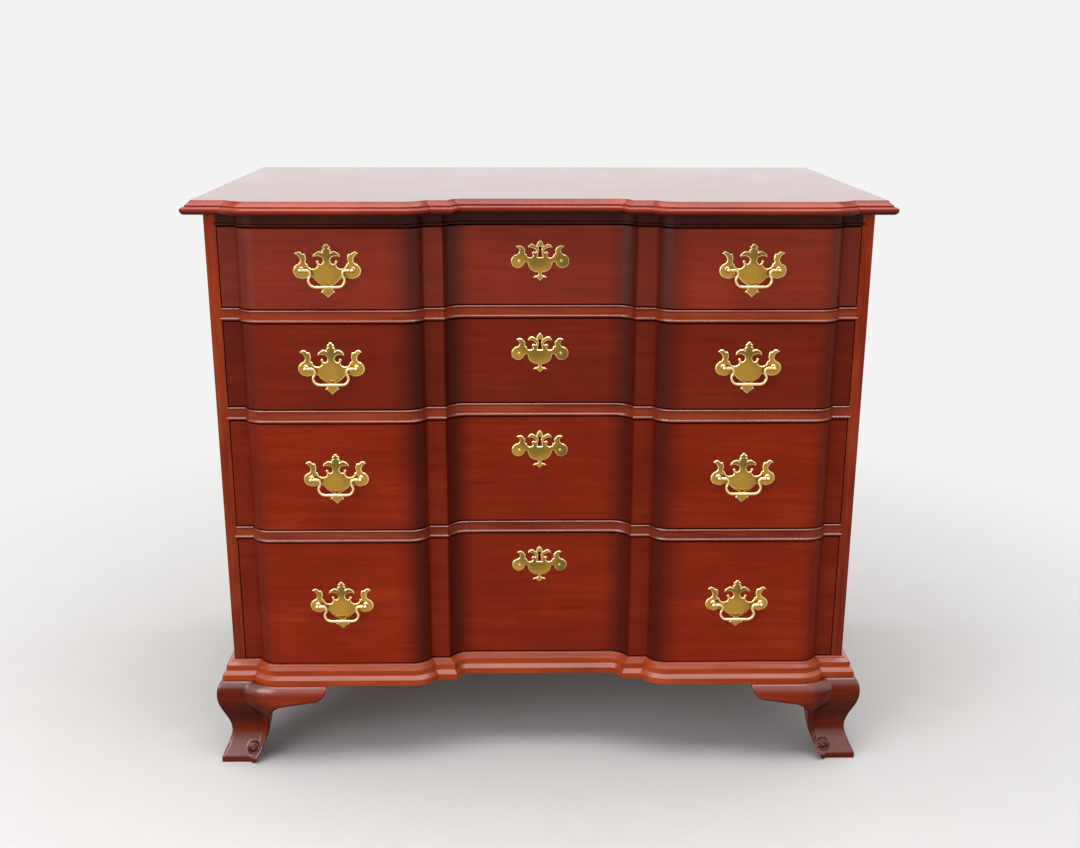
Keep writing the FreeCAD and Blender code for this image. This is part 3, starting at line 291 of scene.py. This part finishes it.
def wood(name, colours, grain, seed, roughness=0.34, level=0.1, coat=0.0, flat_coat=0.0, coat_ior=1.5,
         coat_roughness=0.07, shade=0.0, painted_shade_stops=FRONT_PAINTED_SHADE, under=0.0, low=0.0, lines=0.3, edge=0.5,
         marks=()):
    """Stained hardwood. coat is how much polish there is where it faces up at all and flat_coat where it lies
    level, where painted shade also darkens it. shade is how strongly the stops paint shade on it, under
    paints shade on what faces down, low paints shade on what is near the floor, and edge is how round an
    arris looks in millimetres."""
    s = Shader(name)
    colour, fibre, pores, mottle = stained(s, colours, grain, seed, lines)
    # Painted shade: bands darkened by the distance from the middle stand in for shade and dark reflections on
    # the curves.
    if shade:
        outward = s.math("ABSOLUTE", s.place_part(0))
        share = s.math("MULTIPLY", s.ramp(outward, painted_shade_stops), shade)
        colour = s.mix(share, colour, PAINTED_SHADE_AND_MARK_COLOUR)
    # Painted shade: wood is darkened towards the floor.
    if low:
        colour = s.mix(s.span(s.place_part(2), *LOW_SHADE_SPAN, low, 0.0), colour, PAINTED_SHADE_AND_MARK_COLOUR)
    for mark in marks:
        colour = grain_mark(s, colour, mark)
    samples = EDGE_SAMPLES if edge < WIDE_EDGE else WIDE_EDGE_SAMPLES
    rounded = s.node("Bevel", {"Radius": edge * MM}, samples=samples).outputs[0]
    upward = s.node("SeparateXYZ", {0: rounded}).outputs[2]
    # Painted shade: what faces down is darkened, standing in for the dark ground it would mirror.
    if under:
        down = s.math("MULTIPLY", upward, -1.0)
        colour = s.mix(s.math("MULTIPLY", s.span(down, *UNDER_SHADE_SPAN), under), colour, UNDER_SHADE_COLOUR)
    height = s.math("ADD", s.math("MULTIPLY", fibre, 0.4), s.math("MULTIPLY", pores, -0.6))
    normal = s.bump(height, 0.1, 0.12 * MM, rounded)
    rough = s.span(s.math("ADD", s.math("MULTIPLY", mottle, 0.6), s.math("MULTIPLY", fibre, 0.4)),
                   0.35, 0.65, roughness - ROUGHNESS_BELOW, roughness + ROUGHNESS_ABOVE)
    if coat:
        weight = s.span(upward, *POLISH_SPAN, 0.0, coat)
        if flat_coat:
            level_share = s.span(upward, *LEVEL_SPAN)
            # Painted shade: wood that lies level is darkened by the way it faces.
            colour = s.mix(s.math("MULTIPLY", level_share, LEVEL_PAINTED_SHADE), colour, PAINTED_SHADE_AND_MARK_COLOUR)
            weight = s.math("MAXIMUM", weight, s.math("MULTIPLY", level_share, flat_coat))
        s.finish(Coat_Weight=weight, Coat_IOR=coat_ior, Coat_Roughness=coat_roughness, Coat_Normal=normal)
    return s.finish(Base_Color=colour, Roughness=rough, Specular_IOR_Level=level, Normal=normal)


def brass(name, bright, dull, roughness, seed, wear=0.5, flat=None, below=None):
    """Polished brass with tarnish in patches and fine rubbed marks. flat is the two darker colours between
    which the faces that look straight to the front drift, a painted reflection that leaves the raised edges
    brighter, and below is the colour of what looks down when the piece hangs, a painted reflection of the
    dark under it."""
    s = Shader(name)
    offset = (seed * 1.3, seed * 2.9, seed * 0.7)
    patches = s.noise(s.stretch((1.0, 1.0, 1.0), offset), 70.0, 3.0, 0.55, 0.4)
    marks = s.noise(s.stretch((1.0, 1.0, 6.0), offset), 420.0, 3.0, 0.6)
    colour = bright
    # Painted reflection: faces that look straight to the front drift between darker colours, standing in for
    # the dark surroundings they mirror.
    if flat is not None:
        share = s.span(s.math("ABSOLUTE", s.normal_part(1)), *BRASS_FLAT_SPAN)
        drift = s.noise(s.stretch((1.0, 1.0, 1.0), offset), 26.0, 0.5, 0.4)
        colour = s.mix(share, bright, s.mix(s.span(drift, 0.36, 0.64), *flat))
    # Painted reflection: what looks down turns a darker gold, standing in for the dark ground it would
    # mirror.
    if below is not None:
        down = s.math("MULTIPLY", s.normal_part(2), -1.0)
        colour = s.mix(s.span(down, -0.25, 0.45), colour, below)
    colour = s.mix(s.math("MULTIPLY", s.span(patches, 0.42, 0.68), wear), colour, dull)
    rough = s.math("ADD", s.span(patches, 0.35, 0.7, roughness, roughness + 0.1),
                   s.math("MULTIPLY", marks, 0.05))
    waves = s.noise(s.stretch((1.0, 1.0, 1.0), offset), 55.0, 2.0, 0.4)
    height = s.math("ADD", waves, s.math("MULTIPLY", marks, 0.02))
    return s.finish(Base_Color=colour, Metallic=1.0, Roughness=rough, Normal=s.bump(height, 0.16, 0.3 * MM))


def steel(name):
    s = Shader(name)
    marks = s.noise(s.stretch((1.0, 1.0, 30.0)), 300.0, 4.0, 0.6)
    rough = s.span(marks, 0.3, 0.7, 0.26, 0.44)
    colour = s.mix(s.span(marks, 0.3, 0.7), srgb(150, 150, 152), srgb(188, 188, 190))
    return s.finish(Base_Color=colour, Metallic=1.0, Roughness=rough)


def seen_directly(tree):
    """1 for the rays that show a background: from the camera, mirrored or through glass."""
    path = tree.nodes.new("ShaderNodeLightPath")
    found = path.outputs["Is Camera Ray"]
    for name in ("Is Glossy Ray", "Is Transmission Ray"):
        either = tree.nodes.new("ShaderNodeMath")
        either.operation = "MAXIMUM"
        tree.links.new(found, either.inputs[0])
        tree.links.new(path.outputs[name], either.inputs[1])
        found = either.outputs[0]
    return found


def pale_floor(name):
    """A pale painted floor that takes the object's shadow and fades into the backdrop further off."""
    s = Shader(name)
    speckle = s.noise(s.stretch((1.0, 1.0, 1.0)), 14.0, 5.0, 0.6)
    colour = s.mix(speckle, srgb(220, 219, 218), srgb(226, 225, 224))
    away = s.node("VectorMath", {0: s.place}, operation="LENGTH").outputs["Value"]
    share = s.math("MULTIPLY", s.span(away, *FLOOR_FADE), seen_directly(s.tree))
    glow = s.node("Emission", {"Color": (BACKDROP, BACKDROP, BACKDROP, 1.0), "Strength": 1.0})
    both = s.node("MixShader", {0: share, 1: s.surface.outputs["BSDF"], 2: glow.outputs[0]})
    s.tree.links.new(both.outputs[0], s.output)
    return s.finish(Base_Color=colour, Roughness=0.75, Specular_IOR_Level=0.2)


FRONT_RED = (srgb(127, 33, 9), srgb(139, 38, 11), srgb(151, 47, 16))
RAIL_RED = (srgb(131, 44, 21), srgb(154, 59, 32), srgb(169, 72, 41))
# The top rail's wood is much darker: mostly painted shadow of the top's overhang, a little its own darker
# colour.
TOP_RAIL_SHADOWED_RED = (srgb(46, 13, 9), srgb(62, 20, 14), srgb(78, 27, 19))
MOULDING_RED = (srgb(144, 51, 21), srgb(166, 66, 28), srgb(184, 81, 37))
TOP_RED = (srgb(128, 32, 13), srgb(152, 43, 18), srgb(169, 57, 26))
STILE_RED = (srgb(128, 41, 20), srgb(152, 55, 28), srgb(169, 70, 38))
FOOT_RED = (srgb(118, 37, 18), srgb(140, 48, 26), srgb(158, 62, 37))
PLAIN_WOOD = (srgb(168, 128, 84), srgb(190, 152, 106), srgb(206, 172, 128))
FRONT_TONES = {1: 0.9, 2: 0.69, 3: 0.93, 4: 0.97}
FRONT_HAZE = {1: 0.2, 2: 0.09, 3: 0.06, 4: 0.06}
GRAIN_MARKS = {3: [(-0.084, 0.4312, 0.024, 0.0009), (-0.1, 0.3103, 0.0022, 0.0012)],
               4: [(0.05, 0.232, 0.03, 0.0008)]}


def toned(colours, share):
    """The same colours, darker or lighter."""
    return tuple((*(part * share for part in colour[:3]), 1.0) for colour in colours)


# In these woods shade, under and low all set amounts of painted shade.
front_woods = {n: wood("front_wood_%d" % n, toned(FRONT_RED, FRONT_TONES[n]), "x", 1.7 * n,
                       level=FRONT_HAZE[n], shade=0.92, marks=GRAIN_MARKS.get(n, ())) for n in DRAWERS}
rail_wood = wood("rail_wood", RAIL_RED, "x", 9.1, roughness=0.28, level=0.08, coat=1.0, coat_ior=2.2,
                 coat_roughness=0.22, shade=0.3, under=0.6, low=0.35, edge=1.1)
top_rail_shadowed_wood = wood("top_rail_shadowed_wood", TOP_RAIL_SHADOWED_RED, "x", 10.2, roughness=0.3, coat=0.6, coat_ior=1.8)
moulding_wood = wood("moulding_wood", MOULDING_RED, "x", 11.3, roughness=0.24, level=0.04, coat=0.8,
                     coat_ior=1.75, coat_roughness=0.3, under=0.9, edge=0.8)
moulding_side_wood = wood("moulding_side_wood", MOULDING_RED, "y", 12.9, roughness=0.24, level=0.06,
                          coat=0.8, coat_ior=1.75, coat_roughness=0.3, under=0.9, edge=0.8)
side_wood = wood("side_wood", STILE_RED, "z", 14.2, level=0.05, low=0.4)
top_wood = wood("top_wood", TOP_RED, "x", 16.4, roughness=0.22, level=0.1, coat=0.5, flat_coat=1.0,
                coat_roughness=0.12, under=0.9)
foot_wood = wood("foot_wood", FOOT_RED, "x", 18.8, roughness=0.22, level=0.04, coat=1.0, coat_ior=1.85,
                 coat_roughness=0.24, shade=1.0, painted_shade_stops=FOOT_PAINTED_SHADE, under=0.85, edge=5.0)
inner_wood = wood("inner_wood", PLAIN_WOOD, "x", 21.0, roughness=0.7, level=0.2, lines=0.75, edge=0.3)
inner_side_wood = wood("inner_side_wood", PLAIN_WOOD, "y", 23.5, roughness=0.7, level=0.2, lines=0.75,
                       edge=0.3)
# plate_brass's last two colours are painted reflection on its flat faces.
plate_brass = brass("plate_brass", srgb(248, 228, 168), srgb(150, 112, 52), 0.18, 1.0, 0.1,
                    (srgb(126, 100, 46), srgb(182, 140, 58)))
# bail_brass's colour for what looks down is painted reflection.
bail_brass = brass("bail_brass", srgb(250, 232, 184), srgb(214, 178, 104), 0.14, 2.0, 0.25,
                   below=srgb(206, 158, 76))
lock_brass = brass("lock_brass", srgb(170, 140, 84), srgb(120, 96, 54), 0.38, 3.0, 0.8)
bolt_steel = steel("bolt_steel")
floor_paint = pale_floor("floor_paint")


# ---------------------------------------------------------------- making pieces
def dress(node, material):
    """Give a CAD node its finish."""
    slots = nodes[node].data.materials
    slots.clear()
    slots.append(material)


def mesh_from(name, bm, material, smooth_angle=30.0):
    """A mesh with smooth faces, and sharp edges where it turns by more than the angle."""
    bmesh.ops.recalc_face_normals(bm, faces=bm.faces)
    mesh = bpy.data.meshes.new(name)
    bm.to_mesh(mesh)
    bm.free()
    mesh.polygons.foreach_set("use_smooth", [True] * len(mesh.polygons))
    mesh.set_sharp_from_angle(angle=math.radians(smooth_angle))
    mesh.materials.append(material)
    return mesh


def piece(name, mesh, body, place=(0.0, 0.0, 0.0), replaced=()):
    """One piece of the object, which rides on a body and stands for the CAD nodes named."""
    made = bpy.data.objects.new(name, mesh)
    bpy.context.scene.collection.objects.link(made)
    made.location = place
    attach(made, body)
    if replaced:
        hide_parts(*replaced)
    return made


def lathe(bm, profile, base, segments=40):
    """A turned form along y: profile is (distance towards the front, radius), from the back on."""
    rings = []
    for forward, radius in profile:
        ring = []
        for index in range(segments):
            turn = 2 * math.pi * index / segments
            ring.append(bm.verts.new((base[0] + radius * math.cos(turn), base[1] - forward,
                                      base[2] + radius * math.sin(turn))))
        rings.append(ring)
    for first, second in zip(rings, rings[1:]):
        for index in range(segments):
            after = (index + 1) % segments
            bm.faces.new((first[index], first[after], second[after], second[index]))
    bm.faces.new(rings[0])
    bm.faces.new(rings[-1])


def in_metres(profile):
    """A turned form's profile, from one in millimetres."""
    return [(forward * MM, radius * MM) for forward, radius in profile]


def tube(bm, points, radii, segments=20):
    """A bar of changing radius along a path in a plane that is upright and faces the front."""
    rings = []
    for index, point in enumerate(points):
        before = points[max(index - 1, 0)]
        after = points[min(index + 1, len(points) - 1)]
        across = (after - before).normalized().cross(Vector((0, 1, 0)))
        ring = []
        for step in range(segments):
            turn = 2 * math.pi * step / segments
            ring.append(bm.verts.new(point + across * (radii[index] * math.cos(turn))
                                     + Vector((0, radii[index] * math.sin(turn), 0))))
        rings.append(ring)
    for first, second in zip(rings, rings[1:]):
        for step in range(segments):
            after = (step + 1) % segments
            bm.faces.new((first[step], first[after], second[after], second[step]))
    bm.faces.new(rings[0])
    bm.faces.new(rings[-1])


def smooth_rows(rows, steps):
    """Rows of numbers with smooth steps put between them (a Catmull-Rom spline)."""
    rows = np.array(rows, float)
    padded = np.vstack([2 * rows[0] - rows[1], rows, 2 * rows[-1] - rows[-2]])
    made = []
    for a, b, c, d in zip(padded, padded[1:], padded[2:], padded[3:]):
        for step in range(steps):
            t = step / steps
            made.append(0.5 * (2 * b + (c - a) * t + (2 * a - 5 * b + 4 * c - d) * t ** 2
                               + (3 * b - a - 3 * c + d) * t ** 3))
    made.append(rows[-1])
    return np.array(made)


# ---------------------------------------------------------------- cast brass plates
def welded(node):
    bm = bmesh.new()
    bm.from_mesh(nodes[node].data)
    bmesh.ops.remove_doubles(bm, verts=bm.verts, dist=WELD)
    bm.normal_update()
    return bm


def widest_plane(bm, direction):
    """y of the plane that holds the most of a mesh's faces that look to the front or the back."""
    areas = {}
    for face in bm.faces:
        if face.normal.y * direction > 0.999:
            key = round(face.verts[0].co.y, 6)
            areas[key] = areas.get(key, 0.0) + face.calc_area()
    return max(areas, key=areas.get)


def plate_loops(bm, plane_y):
    """The closed outlines, as (x, z) rows, of the faces that look to the front in one plane."""
    front = {f for f in bm.faces if f.normal.y < -0.999 and abs(f.verts[0].co.y - plane_y) < WELD}
    rim = [e for e in bm.edges if sum(f in front for f in e.link_faces) == 1]
    beside = {}
    for edge in rim:
        a, b = edge.verts
        beside.setdefault(a, []).append(b)
        beside.setdefault(b, []).append(a)
    loops = []
    while beside:
        start = next(iter(beside))
        loop = [start]
        onward = beside.pop(start)[0]
        while onward is not start:
            loop.append(onward)
            first, second = beside.pop(onward)
            onward = second if first is loop[-2] else first
        loops.append(stepped(np.array([(v.co.x, v.co.z) for v in loop])))
    return loops


def stepped(loop):
    """An outline with more points in its long runs."""
    points = []
    for a, b in zip(loop, np.roll(loop, -1, axis=0)):
        count = max(1, int(np.linalg.norm(b - a) / PLATE_STEP))
        points += [a + (b - a) * step / count for step in range(count)]
    return np.array(points)


def with_drop(loop, eye_z):
    """A keyhole plate's outline with the curls of its drop drawn full."""
    low = loop[:, 1] < eye_z + DROP_START
    start = next(i for i in range(len(loop)) if low[i - 1] and not low[i])
    kept = np.roll(loop, -start, axis=0)[:np.count_nonzero(~low)]
    half = smooth_rows(DROP, 4) * MM
    half[:, 0] *= np.sign(kept[-1][0])
    whole = np.vstack([half, half[-2::-1] * (-1, 1)])
    return np.vstack([kept, whole + (0.0, eye_z)])


def edge_distance(points, loops):
    """How far each point lies from the nearest edge, and whether it is inside the outlines."""
    nearest = np.full(len(points), 1e9)
    crossings = np.zeros(len(points), int)
    for loop in loops:
        for a, b in zip(loop, np.roll(loop, -1, axis=0)):
            along = b - a
            share = np.clip((points - a) @ along / (along @ along), 0, 1)
            nearest = np.minimum(nearest, np.linalg.norm(points - a - share[:, None] * along, axis=1))
            crosses = (a[1] > points[:, 1]) != (b[1] > points[:, 1])
            with np.errstate(divide="ignore", invalid="ignore"):
                reach = a[0] + (points[:, 1] - a[1]) / (b[1] - a[1]) * along[0]
            crossings += crosses & (points[:, 0] < reach)
    return nearest, crossings % 2 == 1


def inside_points(loops):
    """Points in rings along the bevel and in a loose grid over the rest of a plate."""
    found = []
    for share in PLATE_RINGS:
        depth = share * PLATE_BEVEL
        for loop in loops:
            along = np.roll(loop, -1, axis=0) - np.roll(loop, 1, axis=0)
            along /= np.linalg.norm(along, axis=1)[:, None]
            normal = np.column_stack([-along[:, 1], along[:, 0]])
            for side in (-1, 1):
                ring = loop + side * depth * normal
                nearest, inside = edge_distance(ring, loops)
                found.append(ring[inside & (nearest > 0.94 * depth)])
    low = np.min([loop.min(0) for loop in loops], axis=0)
    high = np.max([loop.max(0) for loop in loops], axis=0)
    grid = np.array([(x, z) for x in np.arange(low[0], high[0], PLATE_GRID)
                     for z in np.arange(low[1], high[1], PLATE_GRID)])
    nearest, inside = edge_distance(grid, loops)
    found.append(grid[inside & (nearest > 1.5 * PLATE_BEVEL)])
    return np.vstack(found)


def triangles(loops, extra):
    """A triangulation of the area inside the outlines, with the extra points in it."""
    points = [tuple(p) for loop in loops for p in loop] + [tuple(p) for p in extra]
    edges = []
    start = 0
    for loop in loops:
        edges += [(start + i, start + (i + 1) % len(loop)) for i in range(len(loop))]
        start += len(loop)
    flat, _, faces, *_ = delaunay_2d_cdt([Vector(p) for p in points], edges, [], 0, 1e-7)
    flat = np.array([tuple(p) for p in flat])
    faces = np.array([tuple(f) for f in faces])
    _, inside = edge_distance(flat[faces].mean(axis=1), loops)
    return flat, faces[inside]


def cast_plate(bm, loops, front_y, back_y):
    """A plate whose front edges are rounded over all round, the holes included."""
    flat, faces = triangles(loops, inside_points(loops))
    nearest, _ = edge_distance(flat, loops)
    share = np.clip(nearest / PLATE_BEVEL, 0, 1)
    front = front_y + PLATE_BEVEL_DROP * (1 - share) ** PLATE_BEVEL_POWER
    verts = [bm.verts.new((x, y, z)) for (x, z), y in zip(flat, front)]
    for face in faces:
        bm.faces.new([verts[i] for i in face])
    back, back_faces = triangles(loops, np.empty((0, 2)))
    back_verts = [bm.verts.new((x, back_y, z)) for x, z in back]
    for face in back_faces:
        bm.faces.new([back_verts[i] for i in face])
    start = 0
    for loop in loops:
        for i in range(len(loop)):
            a, b = start + i, start + (i + 1) % len(loop)
            bm.faces.new((verts[a], verts[b], back_verts[b], back_verts[a]))
        start += len(loop)


def plate_part(node, centre_x, half_width):
    """The outlines of a node's plate near one x, and its front and back."""
    bm = welded(node)
    front_y, back_y = widest_plane(bm, -1), widest_plane(bm, 1)
    loops = [loop for loop in plate_loops(bm, front_y)
             if abs(loop[:, 0].mean() - centre_x) < half_width]
    bm.free()
    return loops, front_y, back_y


# ---------------------------------------------------------------- brasses
def pull_middle(number, side):
    return Vector(joints["drawer_%d_bail_%s_swing" % (number, side)]["pos_m"])


def make_plate_mesh():
    """A pull's plate, from the first drawer's, around the middle of the bail's axis."""
    middle = pull_middle(1, "left")
    loops, front_y, back_y = plate_part("drawer_1_pull_plates", middle.x, PULL_HALF_WIDTH)
    loops = [loop - np.array([middle.x, middle.z]) for loop in loops]
    bm = bmesh.new()
    cast_plate(bm, loops, front_y - middle.y, back_y - middle.y)
    return mesh_from("pull_plate", bm, plate_brass, 40.0)


def make_posts_mesh():
    """The two posts of a pull with their threaded shanks and nuts."""
    shank_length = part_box("drawer_1_pull_posts")[1].y - pull_middle(1, "left").y - POST_REACH
    ball = [(POST_REACH / MM + BALL_RADIUS * math.sin(t), BALL_RADIUS * math.cos(t))
            for t in np.radians(np.linspace(*BALL_TURN, 18))]
    bm = bmesh.new()
    for side in (-1, 1):
        base = (side * POST_FROM_MIDDLE, POST_REACH, 0.0)
        lathe(bm, in_metres(POST_NECK + ball), base)
        thread = [(-shank_length / MM + THREAD_STEP * i, THREAD_RADII[i % 2]) for i in range(THREAD_STEPS)]
        tip, root = (-shank_length / MM, SHANK_TIP_RADIUS), (0.0, THREAD_RADII[1])
        lathe(bm, in_metres([tip] + thread + [root]), base, 24)
        nut_base = (base[0], POST_REACH + shank_length - NUT[-1][0] * MM, 0.0)
        lathe(bm, in_metres(NUT), nut_base, NUT_SIDES)
    return mesh_from("pull_posts", bm, bail_brass, 35.0)


def make_bail_mesh():
    """The swinging handle, hanging from its pins."""
    rows = smooth_rows(BAIL_PATH + [(-x, z, r) for x, z, r in reversed(BAIL_PATH[:-1])], 6)
    bm = bmesh.new()
    tube(bm, [Vector((x * MM, 0.0, z * MM)) for x, z, _ in rows], [r * MM for _, _, r in rows])
    return mesh_from("bail", bm, bail_brass, 50.0)


def make_pulls():
    plate, posts, bail = make_plate_mesh(), make_posts_mesh(), make_bail_mesh()
    for number in DRAWERS:
        drawer = "drawer_%d" % number
        for side in SIDES:
            middle = pull_middle(number, side)
            tail = "_%d_%s" % (number, side)
            piece("pull_plate" + tail, plate, drawer, middle, [drawer + "_pull_plates"])
            piece("pull_posts" + tail, posts, drawer, middle, [drawer + "_pull_posts"])
            piece("bail" + tail, bail, drawer + "_bail_" + side + "_body", middle,
                  [drawer + "_bail_" + side])


def make_escutcheons():
    """The keyhole plates with two domed pins each, all from the first drawer's."""
    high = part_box("drawer_1_escutcheon")[1]
    loops, front_y, back_y = plate_part("drawer_1_escutcheon", 0.0, KEYHOLE_PLATE_HALF_WIDTH)
    outer = max(range(len(loops)), key=lambda i: np.ptp(loops[i][:, 0]))
    loops[outer] = with_drop(loops[outer], high.z - EYE_FROM_TOP)
    pins = [loop.mean(axis=0) for loop in loops if abs(loop[:, 0].mean()) > PIN_FROM_MIDDLE]
    bm = bmesh.new()
    cast_plate(bm, loops, front_y, back_y)
    dome = [(PIN_DOME_HEIGHT * math.sin(t), PIN_RADIUS * math.cos(t))
            for t in np.radians(np.linspace(0, 84, 8))]
    length = (high.y - front_y) / MM
    shank = [(-length, PIN_TIP_RADIUS), (-length + PIN_TIP_LENGTH, PIN_SHANK_RADIUS), (0.0, PIN_SHANK_RADIUS)]
    for x, z in pins:
        lathe(bm, in_metres([(-PIN_SINK, PIN_RADIUS)] + dome), (x, front_y, z), 20)
        lathe(bm, in_metres(shank), (x, front_y, z), 12)
    mesh = mesh_from("escutcheon", bm, plate_brass, 40.0)
    for number in DRAWERS:
        node = "drawer_%d_escutcheon" % number
        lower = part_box(node)[1].z - high.z
        piece("escutcheon_%d" % number, mesh, "drawer_%d" % number, (0, 0, lower), [node])


# ---------------------------------------------------------------- carving on the feet
def volute_rows():
    """The rim of a right foot's scroll as (x, z, y, radius), from the ankle in to the eye."""
    rows = list(VOLUTE_RUN)
    for turn in range(0, VOLUTE_TURN + 1, VOLUTE_TURN_STEP):
        share = turn / VOLUTE_TURN
        reach = VOLUTE_START_RADIUS + (VOLUTE_END_RADIUS - VOLUTE_START_RADIUS) * share
        angle = math.radians(180 + turn)
        lift = VOLUTE_RISE * min(1.0, turn / VOLUTE_RISE_TURN) + VOLUTE_LATER_RISE * share
        rows.append((VOLUTE_X + reach * math.cos(angle), VOLUTE_Z + reach * math.sin(angle),
                     VOLUTE_Y + VOLUTE_SINK - lift, VOLUTE_RIM - VOLUTE_RIM_LOSS * share))
    return rows


def make_volutes():
    """The carved scroll on each front foot, with the roll that runs down the ankle into it."""
    for name, side in (("left", -1), ("right", 1)):
        rows = smooth_rows(volute_rows(), 4)
        bm = bmesh.new()
        tube(bm, [Vector((side * x * MM, y * MM, z * MM)) for x, z, y, _ in rows],
             [radius * MM for *_, radius in rows], 16)
        lathe(bm, in_metres(VOLUTE_EYE), (side * VOLUTE_X * MM, VOLUTE_Y * MM, VOLUTE_Z * MM), 32)
        piece("volute_" + name, mesh_from("volute_" + name, bm, foot_wood, 60.0), "case")


# ---------------------------------------------------------------- the whole
def dress_nodes():
    for node in nodes:
        if node.startswith("drawer_") and node.endswith("_front"):
            dress(node, front_woods[int(node.split("_")[1])])
        elif node.startswith("divider_rail") or node == "bottom_board":
            dress(node, rail_wood)
        elif node == "top_rails":
            dress(node, top_rail_shadowed_wood)
        elif node.startswith("foot_"):
            dress(node, foot_wood)
        elif node in ("side_left", "side_right"):
            dress(node, side_wood)
        elif node == "base_moulding_sides":
            dress(node, moulding_side_wood)
        elif node == "base_moulding_front":
            dress(node, moulding_wood)
        elif node == "top":
            dress(node, top_wood)
        elif node.endswith("_lock"):
            dress(node, lock_brass)
        elif node.endswith("_bolt"):
            dress(node, bolt_steel)
        elif node.endswith("_sides") or node == "drawer_runners":
            dress(node, inner_side_wood)
        else:
            dress(node, inner_wood)


def make_camera():
    data = bpy.data.cameras.new("camera")
    data.sensor_fit = "HORIZONTAL"
    data.sensor_width = SENSOR_WIDTH
    data.lens = FOCAL_PIXELS / PICTURE_WIDTH * SENSOR_WIDTH
    camera = bpy.data.objects.new("camera", data)
    bpy.context.scene.collection.objects.link(camera)
    turn = (Matrix.Rotation(math.radians(CAMERA_YAW), 4, "Z")
            @ Matrix.Rotation(math.radians(90 - CAMERA_PITCH), 4, "X")
            @ Matrix.Rotation(math.radians(CAMERA_ROLL), 4, "Z"))
    camera.matrix_world = Matrix.Translation(CAMERA_PLACE) @ turn
    bpy.context.scene.camera = camera


def make_lamp(name, place, target, size, radiance):
    """A soft box: a rectangle of light at one place that looks at another."""
    data = bpy.data.lights.new(name, "AREA")
    data.shape = "RECTANGLE"
    data.size, data.size_y = size
    data.energy = radiance * math.pi * size[0] * size[1]
    lamp = bpy.data.objects.new(name, data)
    bpy.context.scene.collection.objects.link(lamp)
    lamp.location = place
    lamp.visible_camera = False
    lamp.rotation_mode = "QUATERNION"
    lamp.rotation_quaternion = (Vector(target) - Vector(place)).to_track_quat("-Z", "Y")


def make_world():
    """An even pale surround, whiter where it is seen or mirrored than where it lights."""
    world = bpy.data.worlds.new("surround")
    world.use_nodes = True
    bpy.context.scene.world = world
    tree = world.node_tree
    tree.nodes.clear()
    both = tree.nodes.new("ShaderNodeMixShader")
    tree.links.new(seen_directly(tree), both.inputs[0])
    for socket, strength in ((1, SURROUND), (2, BACKDROP)):
        light = tree.nodes.new("ShaderNodeBackground")
        light.inputs["Color"].default_value = (1.0, 1.0, 1.0, 1.0)
        light.inputs["Strength"].default_value = strength
        tree.links.new(light.outputs[0], both.inputs[socket])
    output = tree.nodes.new("ShaderNodeOutputWorld")
    tree.links.new(both.outputs[0], output.inputs["Surface"])


def make_stage():
    mesh = bpy.data.meshes.new("floor")
    corners = [(x * FLOOR_HALF, y * FLOOR_HALF, 0) for x, y in ((-1, -1), (1, -1), (1, 1), (-1, 1))]
    mesh.from_pydata(corners, [], [(0, 1, 2, 3)])
    mesh.materials.append(floor_paint)
    floor = bpy.data.objects.new("floor", mesh)
    bpy.context.scene.collection.objects.link(floor)
    make_lamp("overhead", (0.0, -0.4, 3.1), (0.0, -0.35, 0.4), (3.4, 2.4), OVERHEAD_LAMP)
    make_lamp("left", (-2.4, -2.6, 1.5), (0.0, 0.0, 0.45), (2.2, 2.0), LEFT_LAMP)
    make_world()


make_camera()
make_stage()
dress_nodes()
make_pulls()
make_escutcheons()
make_volutes()

bpy.context.scene.view_settings.view_transform = "Standard"
